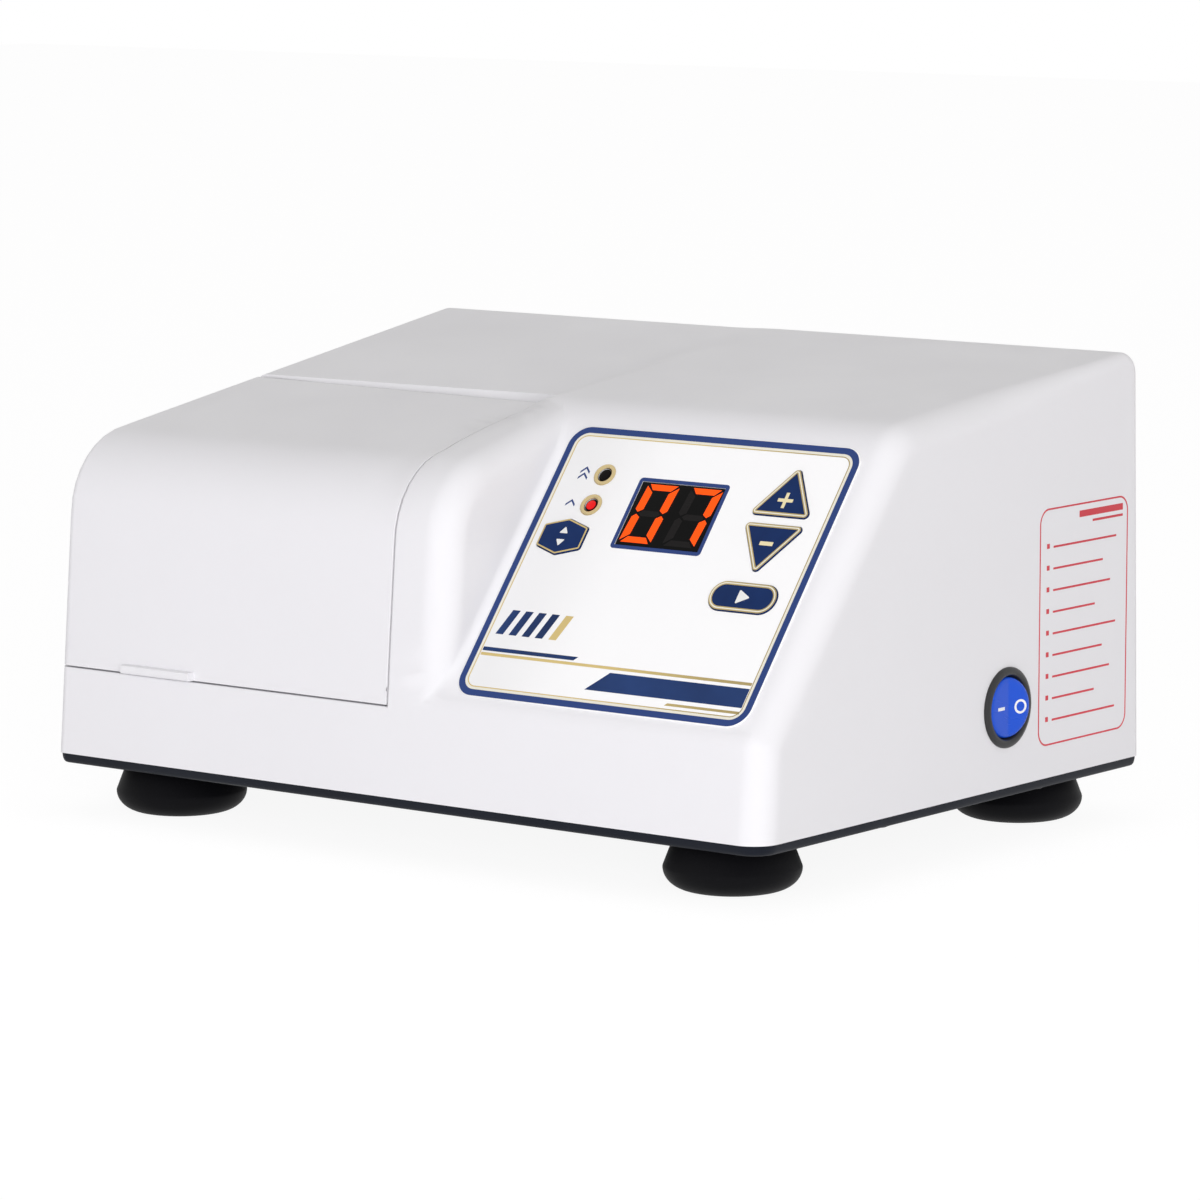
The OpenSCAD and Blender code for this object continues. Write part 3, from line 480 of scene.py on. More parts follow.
HEXAGON = [(0, 5.9, 1.4), (-7.6, 3.5, .8), (-7.6, -3.5, .8), (0, -5.9, 1.4), (7.6, -3.5, .8), (7.6, 3.5, .8)]
UPWARD = [(0, 8.6, 1.2), (-10.2, -7.4, 1.2), (10.2, -7.4, 1.2)]
DOWNWARD = [(0, -8.6, 1.2), (10.2, 7.4, 1.2), (-10.2, 7.4, 1.2)]
STADIUM = slab(22, 9.2, 4.5, -11, -4.6)
OVERLAY = slab(100, 90, 6.5, 18.5, 3.1)
WINDOW = slab(30.6, 23, 1, 49.0, 54.6)
SOCKET = [(-13.7, -10.2), (13.7, -10.2), (13.7, 10.2), (-13.7, 10.2)]
KEYS = {"select_button": ("select_key", (31.6, 56.3), HEXAGON),
        "plus_button": ("plus_key", (100, 76.7), UPWARD),
        "minus_button": ("minus_key", (100, 59.1), DOWNWARD),
        "start_button": ("start_key", (100, 42.9), STADIUM)}
LAMPS = {"led_low": (36.2, 67.4), "led_high": (36.2, 77.5)}


def panel_holes(w0, w1):
    cuts = [(loop(c, -0.25), at) for _, at, c in KEYS.values()]
    cuts += [(circle(2.2), at) for at in LAMPS.values()] + [(loop(WINDOW, 1.0), (0, 0))]
    return join("holes", [stack("hole", [on_panel(flat, w, at) for w in (w0, w1)]) for flat, at in cuts])


# %% Cut the housing
CASE_KNUCKLES, LID_KNUCKLES = [(-116, -108), (-66, -58), (-28, -20)], [(-107.6, -92), (-44, -28.4)]
EDGE_Z = BASE + HIGH - math.tan(SLOPE_LID) * (rear_y(HIGH) - GROOVE_Y)
BEVEL = [(-3, -4.8), (5, 8), (-3, 8)]


def knuckle(s, web_y, low, high):
    k = along_x(s, 1.9, HINGE_Y, HINGE_Z, 32)
    return carve(k, block(s, web_y, (HINGE_Z - low, HINGE_Z + high)), "UNION")


carve(base_shell, lid_plan(0, GROOVE_Y, BASE + SEAM_H))
carve(base_shell, block((-118, -18), (GROOVE_Y, GROOVE_Y + 2.7), (HINGE_Z - 8, HINGE_Z + 2.2)), "UNION")
for s in CASE_KNUCKLES:
    carve(base_shell, knuckle(s, (HINGE_Y, GROOVE_Y + 0.05), 1.9, -0.9), "UNION")
for x, y in POSTS:
    post = along_z((BASE, BASE + 17), 5, x, y, 32)
    carve(base_shell, carve(post, along_z((BASE - 1, BASE + 13), 1.8, x, y, 24)), "UNION")
bevel = [np.array([(x, GROOVE_Y + y, EDGE_Z - drop + z) for y, z in BEVEL]) for x, drop in
         ((-131, 0.2), (SEAM_X[1], 4.0))]
carve(base_shell, stack("bevel", bevel))
switch_hole = along_x((110, 129), 10.1, SWITCH_Y, BASE + SWITCH_H, 48)
rear_holes = [stack("hole", [on_rear(flat, w, x) for w in (-6, 1)]) for flat, x in
              ((SOCKET, SOCKET_X), (circle(6.7), FUSE_X))]
pin_bore = along_x((-130, 0), PIN_R, HINGE_Y, HINGE_Z, 24)
carve(base_shell, join("tools", [panel_holes(-5.2, 1), switch_hole, *rear_holes, pin_bore]))
base_shell.name = base_shell.data.name = "housing_skin"
print("housing faces", len(base_shell.data.polygons))

# %% Cut the lid
LID_Z = BASE + SEAM_H + SEAM_GAP
TAB = [(2, 0.5), (-2.0, 0.5), (-2.45, 0.65), (-2.6, 1.0), (-2.6, 2.5), (-2.45, 2.85), (-2.0, 3.0), (2, 3.0)]

region = lid_plan(SEAM_GAP, None, LID_Z)
carve(region, block((-FAR, -120), (LID_BACK - 1, GROOVE_Y - 0.5), (LID_Z, HINGE_Z - 2.5)), "UNION")
carve(lid_shell, region, "INTERSECT")
tab = [np.array([(x, front_y(SEAM_H) + y, BASE + SEAM_H + z) for y, z in TAB]) for x in (-101, -75)]
carve(lid_shell, stack("tab", tab), "UNION")
for s in CASE_KNUCKLES:
    carve(lid_shell, along_x((s[0] - 0.4, s[1] + 0.4), 2.2, HINGE_Y, HINGE_Z, 40))
for s in LID_KNUCKLES:
    carve(lid_shell, knuckle(s, (LID_BACK - 2, HINGE_Y), 1.5, 1.3), "UNION")
carve(lid_shell, along_x((-130, 0), PIN_R, HINGE_Y, HINGE_Z, 24))
lid_shell.name = lid_shell.data.name = "lid_skin"
print("lid faces", len(lid_shell.data.polygons))

# %% [markdown]
# ## Shading the skin
# A mesh of flat faces shades evenly only where its point normals are those of the real form. The normals
# could be averaged from the faces, but the long faces beside a cut would then bend the light. Here each
# corner on the skin gets the field's own normal, and at a seam it leans into the gap, which shades the
# moulded edge as a small round.


# %% Normals from the field
def seam_lean(p, lid):
    """The way in which points on a seam lean into its gap."""
    lean = np.zeros_like(p)
    sign, gap = (1, SEAM_GAP) if lid else (-1, 0)
    z = BASE + SEAM_H + gap
    sx = np.interp(p[:, 1], SEAM_Y, SEAM_X) - gap
    yb = np.interp(p[:, 0], BACK_X, BACK_Y) if lid else GROOVE_Y
    in_x, in_y, in_z = p[:, 0] < sx + 0.1, p[:, 1] < yb + 0.1, p[:, 2] > z - 0.1
    lean[:, 2] -= sign * ((abs(p[:, 2] - z) < 0.05) & in_x & in_y)
    lean[:, 0] += sign * ((abs(p[:, 0] - sx) < 0.05) & in_y & in_z)
    lean[:, 1] += sign * ((abs(p[:, 1] - yb) < 0.05) & in_x & in_z)
    return lean


def shade_skin(obj, lid):
    """Faces on the outer or the inner skin get the field's normals; all others keep their own."""
    smooth(obj)
    mesh = obj.data
    co = np.zeros(len(mesh.vertices) * 3)
    mesh.vertices.foreach_get("co", co)
    co = co.reshape(-1, 3) / MM
    grad = normals_at(co)
    level = field(co[:, 0], co[:, 1], co[:, 2] - BASE)
    mixed = grad + 0.8 * seam_lean(co, lid)
    mixed /= np.linalg.norm(mixed, axis=1, keepdims=True)
    normals = np.zeros(len(mesh.loops) * 3)
    mesh.corner_normals.foreach_get("vector", normals)
    normals = normals.reshape(-1, 3)
    count = 0
    for f in mesh.polygons:
        v = np.array(f.vertices)
        corners = slice(f.loop_start, f.loop_start + f.loop_total)
        dot = grad[v] @ np.array(f.normal)
        if abs(level[v]).max() < 0.25 and dot.min() > 0.8:
            normals[corners] = mixed[v]
            count += 1
        elif abs(level[v] + WALL).max() < 0.6 and dot.max() < -0.8:
            normals[corners] = -grad[v]
    mesh.normals_split_custom_set([tuple(n) for n in normals])
    print(obj.name, "skin faces", count, "of", len(mesh.polygons))


shade_skin(base_shell, False)
shade_skin(lid_shell, True)

# %% [markdown]
# ## Finishes
# Moulded plastic is never one flat colour: it has a fine spark-eroded grain, a slight cloudiness and areas
# that are handled smoother. These effects could be painted, but noise on Object coordinates follows any
# shape. One node group makes grain, clouding and smudges, and each material places it with its own values.


# %% Surface group
MASKS = {"Height": ("Grain Scale", 2200, 3, 0.6, 0), "Cloud": ("Cloud Scale", 9, 4, 0.55, 0),
         "Smudge": ("Smudge Scale", 26, 5, 0.6, 0.6)}


def node(tree, kind, inputs=None, **props):
    n = tree.nodes.new(kind)
    for k, v in props.items():
        setattr(n, k, v)
    for k, v in (inputs or {}).items():
        if isinstance(v, bpy.types.NodeSocket):
            tree.links.new(v, n.inputs[k])
        else:
            n.inputs[k].default_value = v
    return n


def maths(tree, how, a, b):
    return node(tree, "ShaderNodeMath", {0: a, 1: b}, operation=how).outputs[0]


def surface_group():
    """One noise for each mask, with its scale, detail, roughness and distortion."""
    g = bpy.data.node_groups.new("moulded_surface", "ShaderNodeTree")
    for name, scale, *_ in MASKS.values():
        g.interface.new_socket(name, in_out="INPUT", socket_type="NodeSocketFloat").default_value = scale
    for out in MASKS:
        g.interface.new_socket(out, in_out="OUTPUT", socket_type="NodeSocketFloat")
    gi, go = g.nodes.new("NodeGroupInput"), g.nodes.new("NodeGroupOutput")
    co = node(g, "ShaderNodeTexCoord").outputs["Object"]
    for out, (name, _, detail, rough, bend) in MASKS.items():
        noise = node(g, "ShaderNodeTexNoise", {"Vector": co, "Scale": gi.outputs[name], "Detail": detail,
                                               "Roughness": rough, "Distortion": bend})
        g.links.new(noise.outputs["Fac"], go.inputs[out])
    return g


SURFACE = surface_group()
print("masks", list(MASKS))


# %% How a finish is made
def material(name, colour, rough, metal=0.0, vary=0.03, rough_vary=0.06, grain=0.05, grain_mm=0.02,
             scales=(2200, 9, 26), gloss=0.5, glow=None):
    """Colour and roughness wander by vary and rough_vary; glow is a colour with its strength."""
    m = bpy.data.materials.new(name)
    m.use_nodes = True
    t = m.node_tree
    p = t.nodes["Principled BSDF"]
    s = t.nodes.new("ShaderNodeGroup")
    s.node_tree = SURFACE
    for (name, *_), scale in zip(MASKS.values(), scales):
        s.inputs[name].default_value = scale

    def between(mask, low, high):
        return node(t, "ShaderNodeMapRange", {0: s.outputs[mask], 1: 0.3, 2: 0.7, 3: low, 4: high}).outputs[0]

    mix = node(t, "ShaderNodeMix", {"Factor": between("Cloud", 0.0, 1.0)}, data_type="RGBA")
    for k, f in ((6, 1 - vary), (7, 1 + vary)):
        mix.inputs[k].default_value = (*[min(1, c * f) for c in colour], 1)
    t.links.new(mix.outputs[2], p.inputs["Base Color"])
    t.links.new(between("Smudge", max(0.02, rough - rough_vary), rough + rough_vary), p.inputs["Roughness"])
    bump = node(t, "ShaderNodeBump", {"Height": s.outputs["Height"], "Strength": grain,
                                      "Distance": grain_mm * MM})
    t.links.new(bump.outputs[0], p.inputs["Normal"])
    p.inputs["Metallic"].default_value = metal
    p.inputs["Specular IOR Level"].default_value = gloss
    if glow:
        p.inputs["Emission Color"].default_value = (*glow[0], 1)
        p.inputs["Emission Strength"].default_value = glow[1]
    return m


# %% Plastics
WHITE = material("white_plastic", (0.80, 0.795, 0.82), 0.42, vary=0.008, grain=0.25, grain_mm=0.01)
TUB = material("tub_plastic", (0.70, 0.71, 0.73), 0.5, vary=0.02, grain=0.3)
PLATE = material("base_black", (0.006, 0.008, 0.014), 0.5, vary=0.2, grain=0.3, gloss=0.16)
RUBBER = material("rubber", (0.004, 0.004, 0.005), 0.55, vary=0.25, grain=0.5, grain_mm=0.03, gloss=0.09)
BLACK = material("black_plastic", (0.02, 0.02, 0.022), 0.42, vary=0.2, grain=0.4)
GLOSS = material("gloss_black", (0.022, 0.022, 0.023), 0.36, vary=0.2, grain=0.2, rough_vary=0.05, gloss=0.35)
GUIDE = material("guide_black", (0.03, 0.03, 0.032), 0.45, vary=0.2, grain=0.4)
IVORY = material("ivory_plastic", (0.78, 0.72, 0.58), 0.4)
# The rocker's faint blue glow is painted light: it brightens the blue, though no lamp sits in the switch.
BLUE = material("blue_rocker", (0.006, 0.070, 0.52), 0.22, vary=0.15, gloss=0.3,
                glow=((0.004, 0.08, 0.8), 0.08))
MARK = material("white_mark", (0.85, 0.85, 0.86), 0.4)

# %% Inks
FIELD_INK = material("panel_print", (0.90, 0.90, 0.905), 0.34, vary=0.01, gloss=0.3)
CREAM_INK = material("cream_ink", (0.80, 0.77, 0.66), 0.34, vary=0.03)
PALE_INK = material("pale_ink", (0.80, 0.80, 0.78), 0.34)
RED_INK = material("red_ink", (0.62, 0.03, 0.05), 0.4, vary=0.08)
NAVY = material("navy_ink", (0.024, 0.052, 0.19), 0.4, vary=0.06, gloss=0.15)
NAVY_WASH = material("navy_wash", (0.012, 0.036, 0.13), 0.4, vary=0.35, scales=(2200, 22, 26), gloss=0.15)
NAVY_KEY = material("navy_key", (0.007, 0.025, 0.105), 0.34, vary=0.10, scales=(2200, 120, 90), gloss=0.08)
GOLD_INK = material("gold_ink", (0.55, 0.42, 0.165), 0.34, 0.35, vary=0.08)
GOLD = material("gold_trim", (0.64, 0.51, 0.27), 0.22, 1.0, vary=0.06, grain=0.1)
GOLD_MARK = material("gold_mark", (0.80, 0.70, 0.42), 0.35, 0.2, vary=0.05)

# %% Glass and lights
GLASS = material("display_glass", (0.003, 0.003, 0.003), 0.12, vary=0.3, rough_vary=0.02, grain=0, gloss=0.06)
UNLIT = material("segment_dark", (0.012, 0.011, 0.011), 0.3, vary=0.1, gloss=0.05)
LIT = material("segment_lit", (0.3, 0.03, 0.004), 0.3, vary=0.05, gloss=0.05, glow=((1, 0.085, 0.004), 0.95))
LED_DARK = material("led_dark", (0.003, 0.002, 0.002), 0.14, vary=0.2, gloss=0.06)
LED_RED = material("led_red", (0.45, 0.004, 0.004), 0.2, vary=0.1, gloss=0.2, glow=((1, 0.005, 0.004), 0.4))

# %% Metals and inner parts
STEEL = material("steel", (0.62, 0.63, 0.65), 0.28, 1.0, vary=0.05, grain=0.15, scales=(900, 20, 60))
OXIDE = material("black_oxide_steel", (0.02, 0.02, 0.022), 0.4, vary=0.2, grain=0.2, gloss=0.3)
BRASS = material("brass", (0.66, 0.5, 0.24), 0.3, 1.0, vary=0.08)
MOTOR = material("motor_grey", (0.42, 0.44, 0.46), 0.38, 0.9, vary=0.06, scales=(700, 15, 40))
ALLOY = material("cast_alloy", (0.56, 0.57, 0.58), 0.48, 0.95, vary=0.06, grain=0.8, grain_mm=0.05,
                 scales=(900, 20, 50))
IRON = material("lamination", (0.28, 0.28, 0.30), 0.5, 0.8, vary=0.1)
COPPER = material("copper", (0.72, 0.30, 0.14), 0.3, 1.0, vary=0.12, grain=0.7, grain_mm=0.1,
                  scales=(1500, 20, 50))
CHROME = material("ball_chrome", (0.72, 0.73, 0.75), 0.1, 1.0, vary=0.03, rough_vary=0.03)
CLIP = material("clip_steel", (0.58, 0.58, 0.60), 0.24, 1.0, vary=0.05)
BOARD = material("board_green", (0.02, 0.13, 0.05), 0.35, vary=0.15)
RIBBON = material("grey_ribbon", (0.35, 0.35, 0.37), 0.5, vary=0.1)
TAPE = material("coil_tape", (0.62, 0.46, 0.10), 0.4, vary=0.1)
RELAY = material("relay_blue", (0.03, 0.10, 0.36), 0.35, vary=0.06)


# %% Gradients along x
def shade_across(m, start, stop, dark, light):
    """Scales a material's colour along x, from one factor at start to another at stop."""
    t = m.node_tree
    p = t.nodes["Principled BSDF"]
    x = node(t, "ShaderNodeSeparateXYZ", {0: node(t, "ShaderNodeTexCoord").outputs["Object"]})
    f = node(t, "ShaderNodeMapRange", {0: x.outputs[0], 1: start * MM, 2: stop * MM, 3: dark, 4: light},
             interpolation_type="SMOOTHSTEP")
    old = p.inputs["Base Color"].links[0].from_socket
    mix = node(t, "ShaderNodeVectorMath", {0: old, 1: f.outputs[0]}, operation="MULTIPLY")
    t.links.new(mix.outputs[0], p.inputs["Base Color"])


# The film's colour is darker at its left, beside the step wall, and lighter towards the right.
shade_across(FIELD_INK, 20, 62, 0.93, 1.06)
# The gold ink is lighter at the left and darker towards the right.
shade_across(GOLD_INK, 60, 112, 1.15, 0.72)
print("materials", len(bpy.data.materials))

# %% [markdown]
# ## Dressing the pieces
# The parts inside the case come straight from the drawing and only get their finish. They could be modelled
# again with more detail, but they show little, even with the lid open. The skin replaces the plain solids.

# %% Dress the carried pieces
CARRIED = {
    RUBBER: "motor_isolators shaft_seal", OXIDE: "bracket_screws", TUB: "chamber_tub",
    STEEL: "lid_hinge_pin board_screws motor_shaft front_bearing rear_bearing motor_bolts "
           "wobble_bearing_inner wobble_bearing_outer inlet_pins",
    BLACK: "lid_switch_body display_module tact_switches power_inlet", IVORY: "lid_switch_plunger",
    BOARD: "control_board power_board", BRASS: "board_standoffs wobble_bush", RIBBON: "ribbon_cable",
    MOTOR: "motor_case motor_bracket", ALLOY: "front_end_bell rear_end_bell mixing_arm",
    IRON: "stator_core rotor_core transformer_core", COPPER: "stator_windings", CLIP: "capsule_clip",
    GUIDE: "guide_block", TAPE: "transformer_coil", RELAY: "relay"}
for mat, names in CARRIED.items():
    for n in names.split():
        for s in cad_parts[n].material_slots:
            s.material = mat


def dress(obj, mat):
    obj.data.materials.clear()
    obj.data.materials.append(mat)
    return obj


def place(obj, mat, body, slot=None, *nodes):
    dress(obj, mat)
    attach(obj, body)
    if nodes:
        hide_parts(*nodes)
    return obj


place(base_shell, WHITE, "case", "white_plastic", "upper_housing")
place(lid_shell, WHITE, "lid", "white_plastic", "lid")
print("carried finishes", len(CARRIED))

# %% [markdown]
# ## Screws and balls
# Screws and bearing balls come in sets. Each could be drawn by hand, but then their counts and sizes would
# not change together. Geometry Nodes put one part on every point of a set: a hexagon-socket screw with a
# turned head on each hole, and a ball at each step round a bearing.


# %% Node groups for sets
def geometry_group(name, inputs):
    g = bpy.data.node_groups.new(name, "GeometryNodeTree")
    for n, kind, v in [("Geometry", "Geometry", None), *inputs, ("Material", "Material", None)]:
        s = g.interface.new_socket(n, in_out="INPUT", socket_type="NodeSocket" + kind)
        if v is not None:
            s.default_value = v
    g.interface.new_socket("Geometry", in_out="OUTPUT", socket_type="NodeSocketGeometry")
    return g, g.nodes.new("NodeGroupInput"), g.nodes.new("NodeGroupOutput")


def finish_set(g, points, part, gi, go, turn=None):
    on = node(g, "GeometryNodeInstanceOnPoints", {"Points": points, "Instance": part})
    if turn:
        g.links.new(turn, on.inputs["Rotation"])
    real = node(g, "GeometryNodeRealizeInstances", {0: on.outputs[0]})
    dressed = node(g, "GeometryNodeSetMaterial", {0: real.outputs[0], "Material": gi.outputs["Material"]})
    g.links.new(dressed.outputs[0], go.inputs[0])
    return g


def random_turn(g, seed):
    chance = node(g, "FunctionNodeRandomValue", data_type="FLOAT")
    for name, value in (("Min", 0.0), ("Max", 6.28)):
        next(i for i in chance.inputs if i.enabled and i.name == name).default_value = value
    g.links.new(seed, chance.inputs["Seed"])
    angle = next(o for o in chance.outputs if o.enabled)
    return node(g, "ShaderNodeCombineXYZ", {"Z": angle}).outputs[0]


# %% Screw group
SIZES = {"Head Radius": 4, "Head Height": 2, "Shank Radius": 2, "Shank Length": 10, "Socket Radius": 1.5}


def screw_group():
    """Screws whose heads hang below their points; the shank goes up."""
    g, gi, go = geometry_group("socket_screws", [(n, "Float", v * MM) for n, v in SIZES.items()] +
                               [("Seed", "Int", 4)])
    radius, height, thin, length, drive = (gi.outputs[n] for n in SIZES)

    def times(socket, k):
        return maths(g, "MULTIPLY", socket, k)

    def raised(kind, z, **values):
        part = node(g, kind, {k.replace("_", " "): v for k, v in values.items()}).outputs[0]
        move = node(g, "ShaderNodeCombineXYZ", {"Z": z}).outputs[0]
        return node(g, "GeometryNodeTransform", {"Geometry": part, "Translation": move}).outputs[0]

    cone, rod = "GeometryNodeMeshCone", "GeometryNodeMeshCylinder"
    upper, down = times(height, 0.7), times(height, -1)
    body = node(g, "GeometryNodeMeshBoolean", operation="UNION")
    for part in (
            raised(cone, times(upper, -1), Vertices=40, Radius_Top=radius, Radius_Bottom=radius, Depth=upper),
            raised(cone, down, Vertices=40, Radius_Top=radius, Radius_Bottom=times(radius, 0.82),
                   Depth=times(height, 0.3)),
            raised(rod, times(length, 0.5), Vertices=24, Radius=thin, Depth=length)):
        g.links.new(part, body.inputs["Mesh 2"])
    cut = node(g, "GeometryNodeMeshBoolean", {"Mesh 1": body.outputs[0]}, operation="DIFFERENCE")
    g.links.new(raised(rod, down, Vertices=6, Radius=drive, Depth=height), cut.inputs["Mesh 2"])
    return finish_set(g, gi.outputs["Geometry"], cut.outputs[0], gi, go, random_turn(g, gi.outputs["Seed"]))


# %% Ball group, and how a group is run
def ball_group():
    g, gi, go = geometry_group("ball_ring", [
        ("Count", "Int", 9), ("Ring Radius", "Float", 0.01), ("Ball Radius", "Float", 0.0015),
        ("Turn", "Rotation", None), ("Centre", "Vector", None)])
    count, radius, ball, turn, centre = list(gi.outputs)[1:6]
    ring = node(g, "GeometryNodeMeshCircle", {"Vertices": count, "Radius": radius}).outputs[0]
    ring = node(g, "GeometryNodeTransform", {"Geometry": ring, "Translation": centre, "Rotation": turn})
    ball = node(g, "GeometryNodeMeshUVSphere", {"Segments": 28, "Rings": 16, "Radius": ball})
    return finish_set(g, ring.outputs[0], ball.outputs[0], gi, go)


def grow(name, group, points, values, body, slot_name, *nodes):
    """Runs a node group on a set of points and keeps the plain mesh."""
    obj = new_mesh(name, points, [])
    m = obj.modifiers.new("set", "NODES")
    m.node_group = group
    keys = {i.name: i.identifier for i in group.interface.items_tree if i.in_out == "INPUT"}
    for n, v in values.items():
        m[keys[n]] = v
    obj.update_tag()
    mesh = bpy.data.meshes.new_from_object(obj.evaluated_get(bpy.context.evaluated_depsgraph_get()))
    obj.modifiers.clear()
    obj.data = mesh
    place(smooth(obj, 35), values["Material"], body, slot_name, *nodes)
    print(name, "points", len(points), "faces", len(mesh.polygons))


# %% Set the screws and balls
SCREWS, BALLS = screw_group(), ball_group()
HUB, HUB_TURN = (-64, -36.8, 72), math.radians(-6)


def screws(name, places, z, sizes, node_name):
    """Sizes are in millimetres, in the order of SIZES."""
    values = {**{k: v * MM for k, v in zip(SIZES, sizes)}, "Material": OXIDE}
    grow(name, SCREWS, [(x, y, z) for x, y in places], values, "case", "steel", node_name)


screws("foot_screw_set", FEET, 6, (4.5, 2.4, 2, 22, 1.9), "foot_screws")
screws("housing_screw_set", POSTS, PLATE_Z, (3.4, 1.0, 1.75, 28, 1.5), "housing_screws")
screws("tub_screw_set", TUB_HOLES, PLATE_Z, (2.8, 1.0, 1.45, 31, 1.2), "tub_screws")
grow("wobble_ball_set", BALLS, [(0, 0, 0)], {
    "Count": 9, "Ring Radius": 10 * MM, "Ball Radius": 1.5 * MM, "Turn": (-math.pi / 2, 0, HUB_TURN),
    "Centre": tuple(c * MM for c in HUB), "Material": CHROME}, "rotor", "ball_chrome", "wobble_bearing_balls")

# %% [markdown]
# ## The control panel
# The panel is a printed film stuck on the slope. Its print could be a picture, but a picture is neither
# sharp nor kept here. So every ink is a thin layer of its own: a navy border, a gold line inside it, and
# plain stripes, all lying on the film.

# %% Printed film
FILM, INK, CAP = 0.46, 0.04, 0.88


def inset_stack(name, corners, levels, at=(0, 0), n=10, hollow=False):
    """One outline drawn in by each inset, at each height over the slope."""
    return stack(name, [on_panel(loop(corners, i, n), w, at) for i, w in levels], hollow)


def ink_ring(name, corners, outer, inner, w, at=(0, 0), n=10, thick=INK):
    levels = [(outer, w), (outer, w + thick), (inner, w + thick), (inner, w)]
    return inset_stack(name, corners, levels, at, n, True)


def ink_patch(name, flat, w=FILM, at=(0, 0), thick=INK):
    return stack(name, [on_panel(flat, h, at) for h in (w, w + thick)])


film = inset_stack("control_film", OVERLAY, [(0, 0), (0, 0.38), (0.12, FILM), (0.3, FILM)], n=14)
carve(film, panel_holes(-1, 1))
place(smooth(film, 40), FIELD_INK, "case", "overlay", "control_overlay")
for name, outer, inner, ink in (("film_border", 0.3, 2.3, NAVY), ("film_cream", 2.32, 3.1, CREAM_INK),
                                ("film_pinline", 3.12, 3.42, GOLD_INK)):
    place(ink_ring(name, OVERLAY, outer, inner, FILM, n=14), ink, "case", "overlay")


def bar(x0, x1, v0, v1, slant=(0, 0)):
    """A straight stripe from x0 to x1 whose ends lean by slant at the top."""
    return ink_patch("bar", [(x0, v0), (x1, v0), (x1 + slant[1], v1), (x0 + slant[0], v1)])


navy = [bar(62, 114.9, 9.4, 15.4, (6, 0)), bar(22.2, 54, 17.9, 19.1, (0, 1.2))]
navy += [bar(24 + 4.6 * k, 26.6 + 4.6 * k, 23.5, 31.5, (2.4, 2.4)) for k in range(4)]
gold = [bar(22.2, 114.9, 16.4, 17.3), bar(42.6, 45.2, 23.5, 31.5, (2.4, 2.4)),
        bar(90, 114.9, 7.4, 8.2, (0.8, 0))]
place(join("film_stripes", navy), NAVY_WASH, "case", "overlay")
place(join("film_gold_stripes", gold), GOLD_INK, "case", "overlay")


def chevron(x, v, size, thick=0.75):
    p = np.array([(-1, -.5), (0, .5), (1, -.5)]) * size
    q = p + [0, thick]
    return ink_patch("chevron", [tuple(i + (x, v)) for i in (p[0], p[1], p[2], q[2], q[1], q[0])])


speed_marks = [chevron(29.0, v, 1.6) for v in (76.2, 78.2, 67.2)]
place(join("speed_marks", speed_marks), NAVY, "case", "overlay")
print("film printed")

# %% [markdown]
# ## Keys
# Each key is a cap that stands out of the film and sinks when it is pressed. It could be one solid with its
# print, but print wears off apart, so the gold lines, the pale band and the mark are thin layers that ride
# on the key's own body. Below the film a flange holds the cap back and a stem reaches the switch.

# %% Key caps
for name, (body, at, c) in KEYS.items():
    cap = inset_stack(name + "_cap", c, [(0, -3.8), (0, 0.7), (0.06, 0.82), (0.18, 0.89), (0.3, 0.9)], at)
    carve(cap, inset_stack("flange", c, [(-1.2, -4.1), (-1.2, -2.9)], at), "UNION")
    carve(cap, stack("stem", [on_panel(circle(2.2, 32), w, at) for w in (-5.0, -2.6)]), "UNION")
    place(smooth(cap, 40), NAVY_KEY, body, "navy_key", name)
    if name == "select_button":
        place(ink_ring(name + "_outline", c, 0.12, 0.55, 0.86, at, thick=0.09), GOLD_INK, body, "navy_key")
        continue
    outer = ink_ring(name + "_outer_line", c, 0.08, 0.42, 0.84, at, thick=0.1)
    inner = ink_ring(name + "_inner_line", c, 0.8, 1.12, CAP, at, thick=0.09)
    place(join(name + "_gold_lines", [outer, inner]), GOLD_INK, body, "navy_key")
    place(ink_ring(name + "_pale_band", c, 0.42, 0.8, CAP, at, thick=0.06), CREAM_INK, body, "navy_key")


# %% Marks on the keys
def key_bar(w, l, at, thick=0.12):
    return stack("bar", [on_panel(loop(slab(w - 2 * i, l - 2 * i, 0.12, i - w / 2, i - l / 2), n=3), h, at)
                         for i, h in ((0, CAP), (0, 0.9 + thick * 0.5), (0.14, 0.9 + thick))])


START_AT, SELECT_AT = KEYS["start_button"][1], KEYS["select_button"][1]
plus_mark = carve(key_bar(5, 1.05, (100, 74.3)), key_bar(1.05, 5, (100, 74.3)), "UNION")
place(join("plus_mark", [plus_mark]), GOLD_MARK, "plus_key", "gold_trim")
place(join("minus_mark", [key_bar(4.4, 1.25, (100, 60.2))]), GOLD_MARK, "minus_key", "gold_trim")
triangle = loop([(-1.7, -2.3, .3), (2.5, 0, .3), (-1.7, 2.3, .3)], n=4)
place(ink_patch("start_mark", triangle, CAP, START_AT), PALE_INK, "start_key", "navy_key")
arrow = loop([(-1.5, -0.9, .2), (1.5, -0.9, .2), (0, 1.3, .2)], n=3)
arrows = [ink_patch("arrow", arrow * [1, s], CAP, (SELECT_AT[0], SELECT_AT[1] + 1.9 * s)) for s in (1, -1)]
place(join("select_mark", arrows), PALE_INK, "select_key", "navy_key")
print("keys", len(KEYS))

# %% [markdown]
# ## Lamps
# Two small lamps in gold rings show the speed. A lamp could be a flat dot, but a real one is a dome in a
# turned ring that catches the light. The same turning helper serves here and for the switch. The low-speed
# lamp is lit, as in the photograph, so a red glowing spot sits on its dome.


# %% Turn the lamps
def lathe(name, profile, frame_of, n=48, hollow=False):
    return stack(name, [frame_of(circle(max(r, 1e-3), n), w) for r, w in profile], hollow)


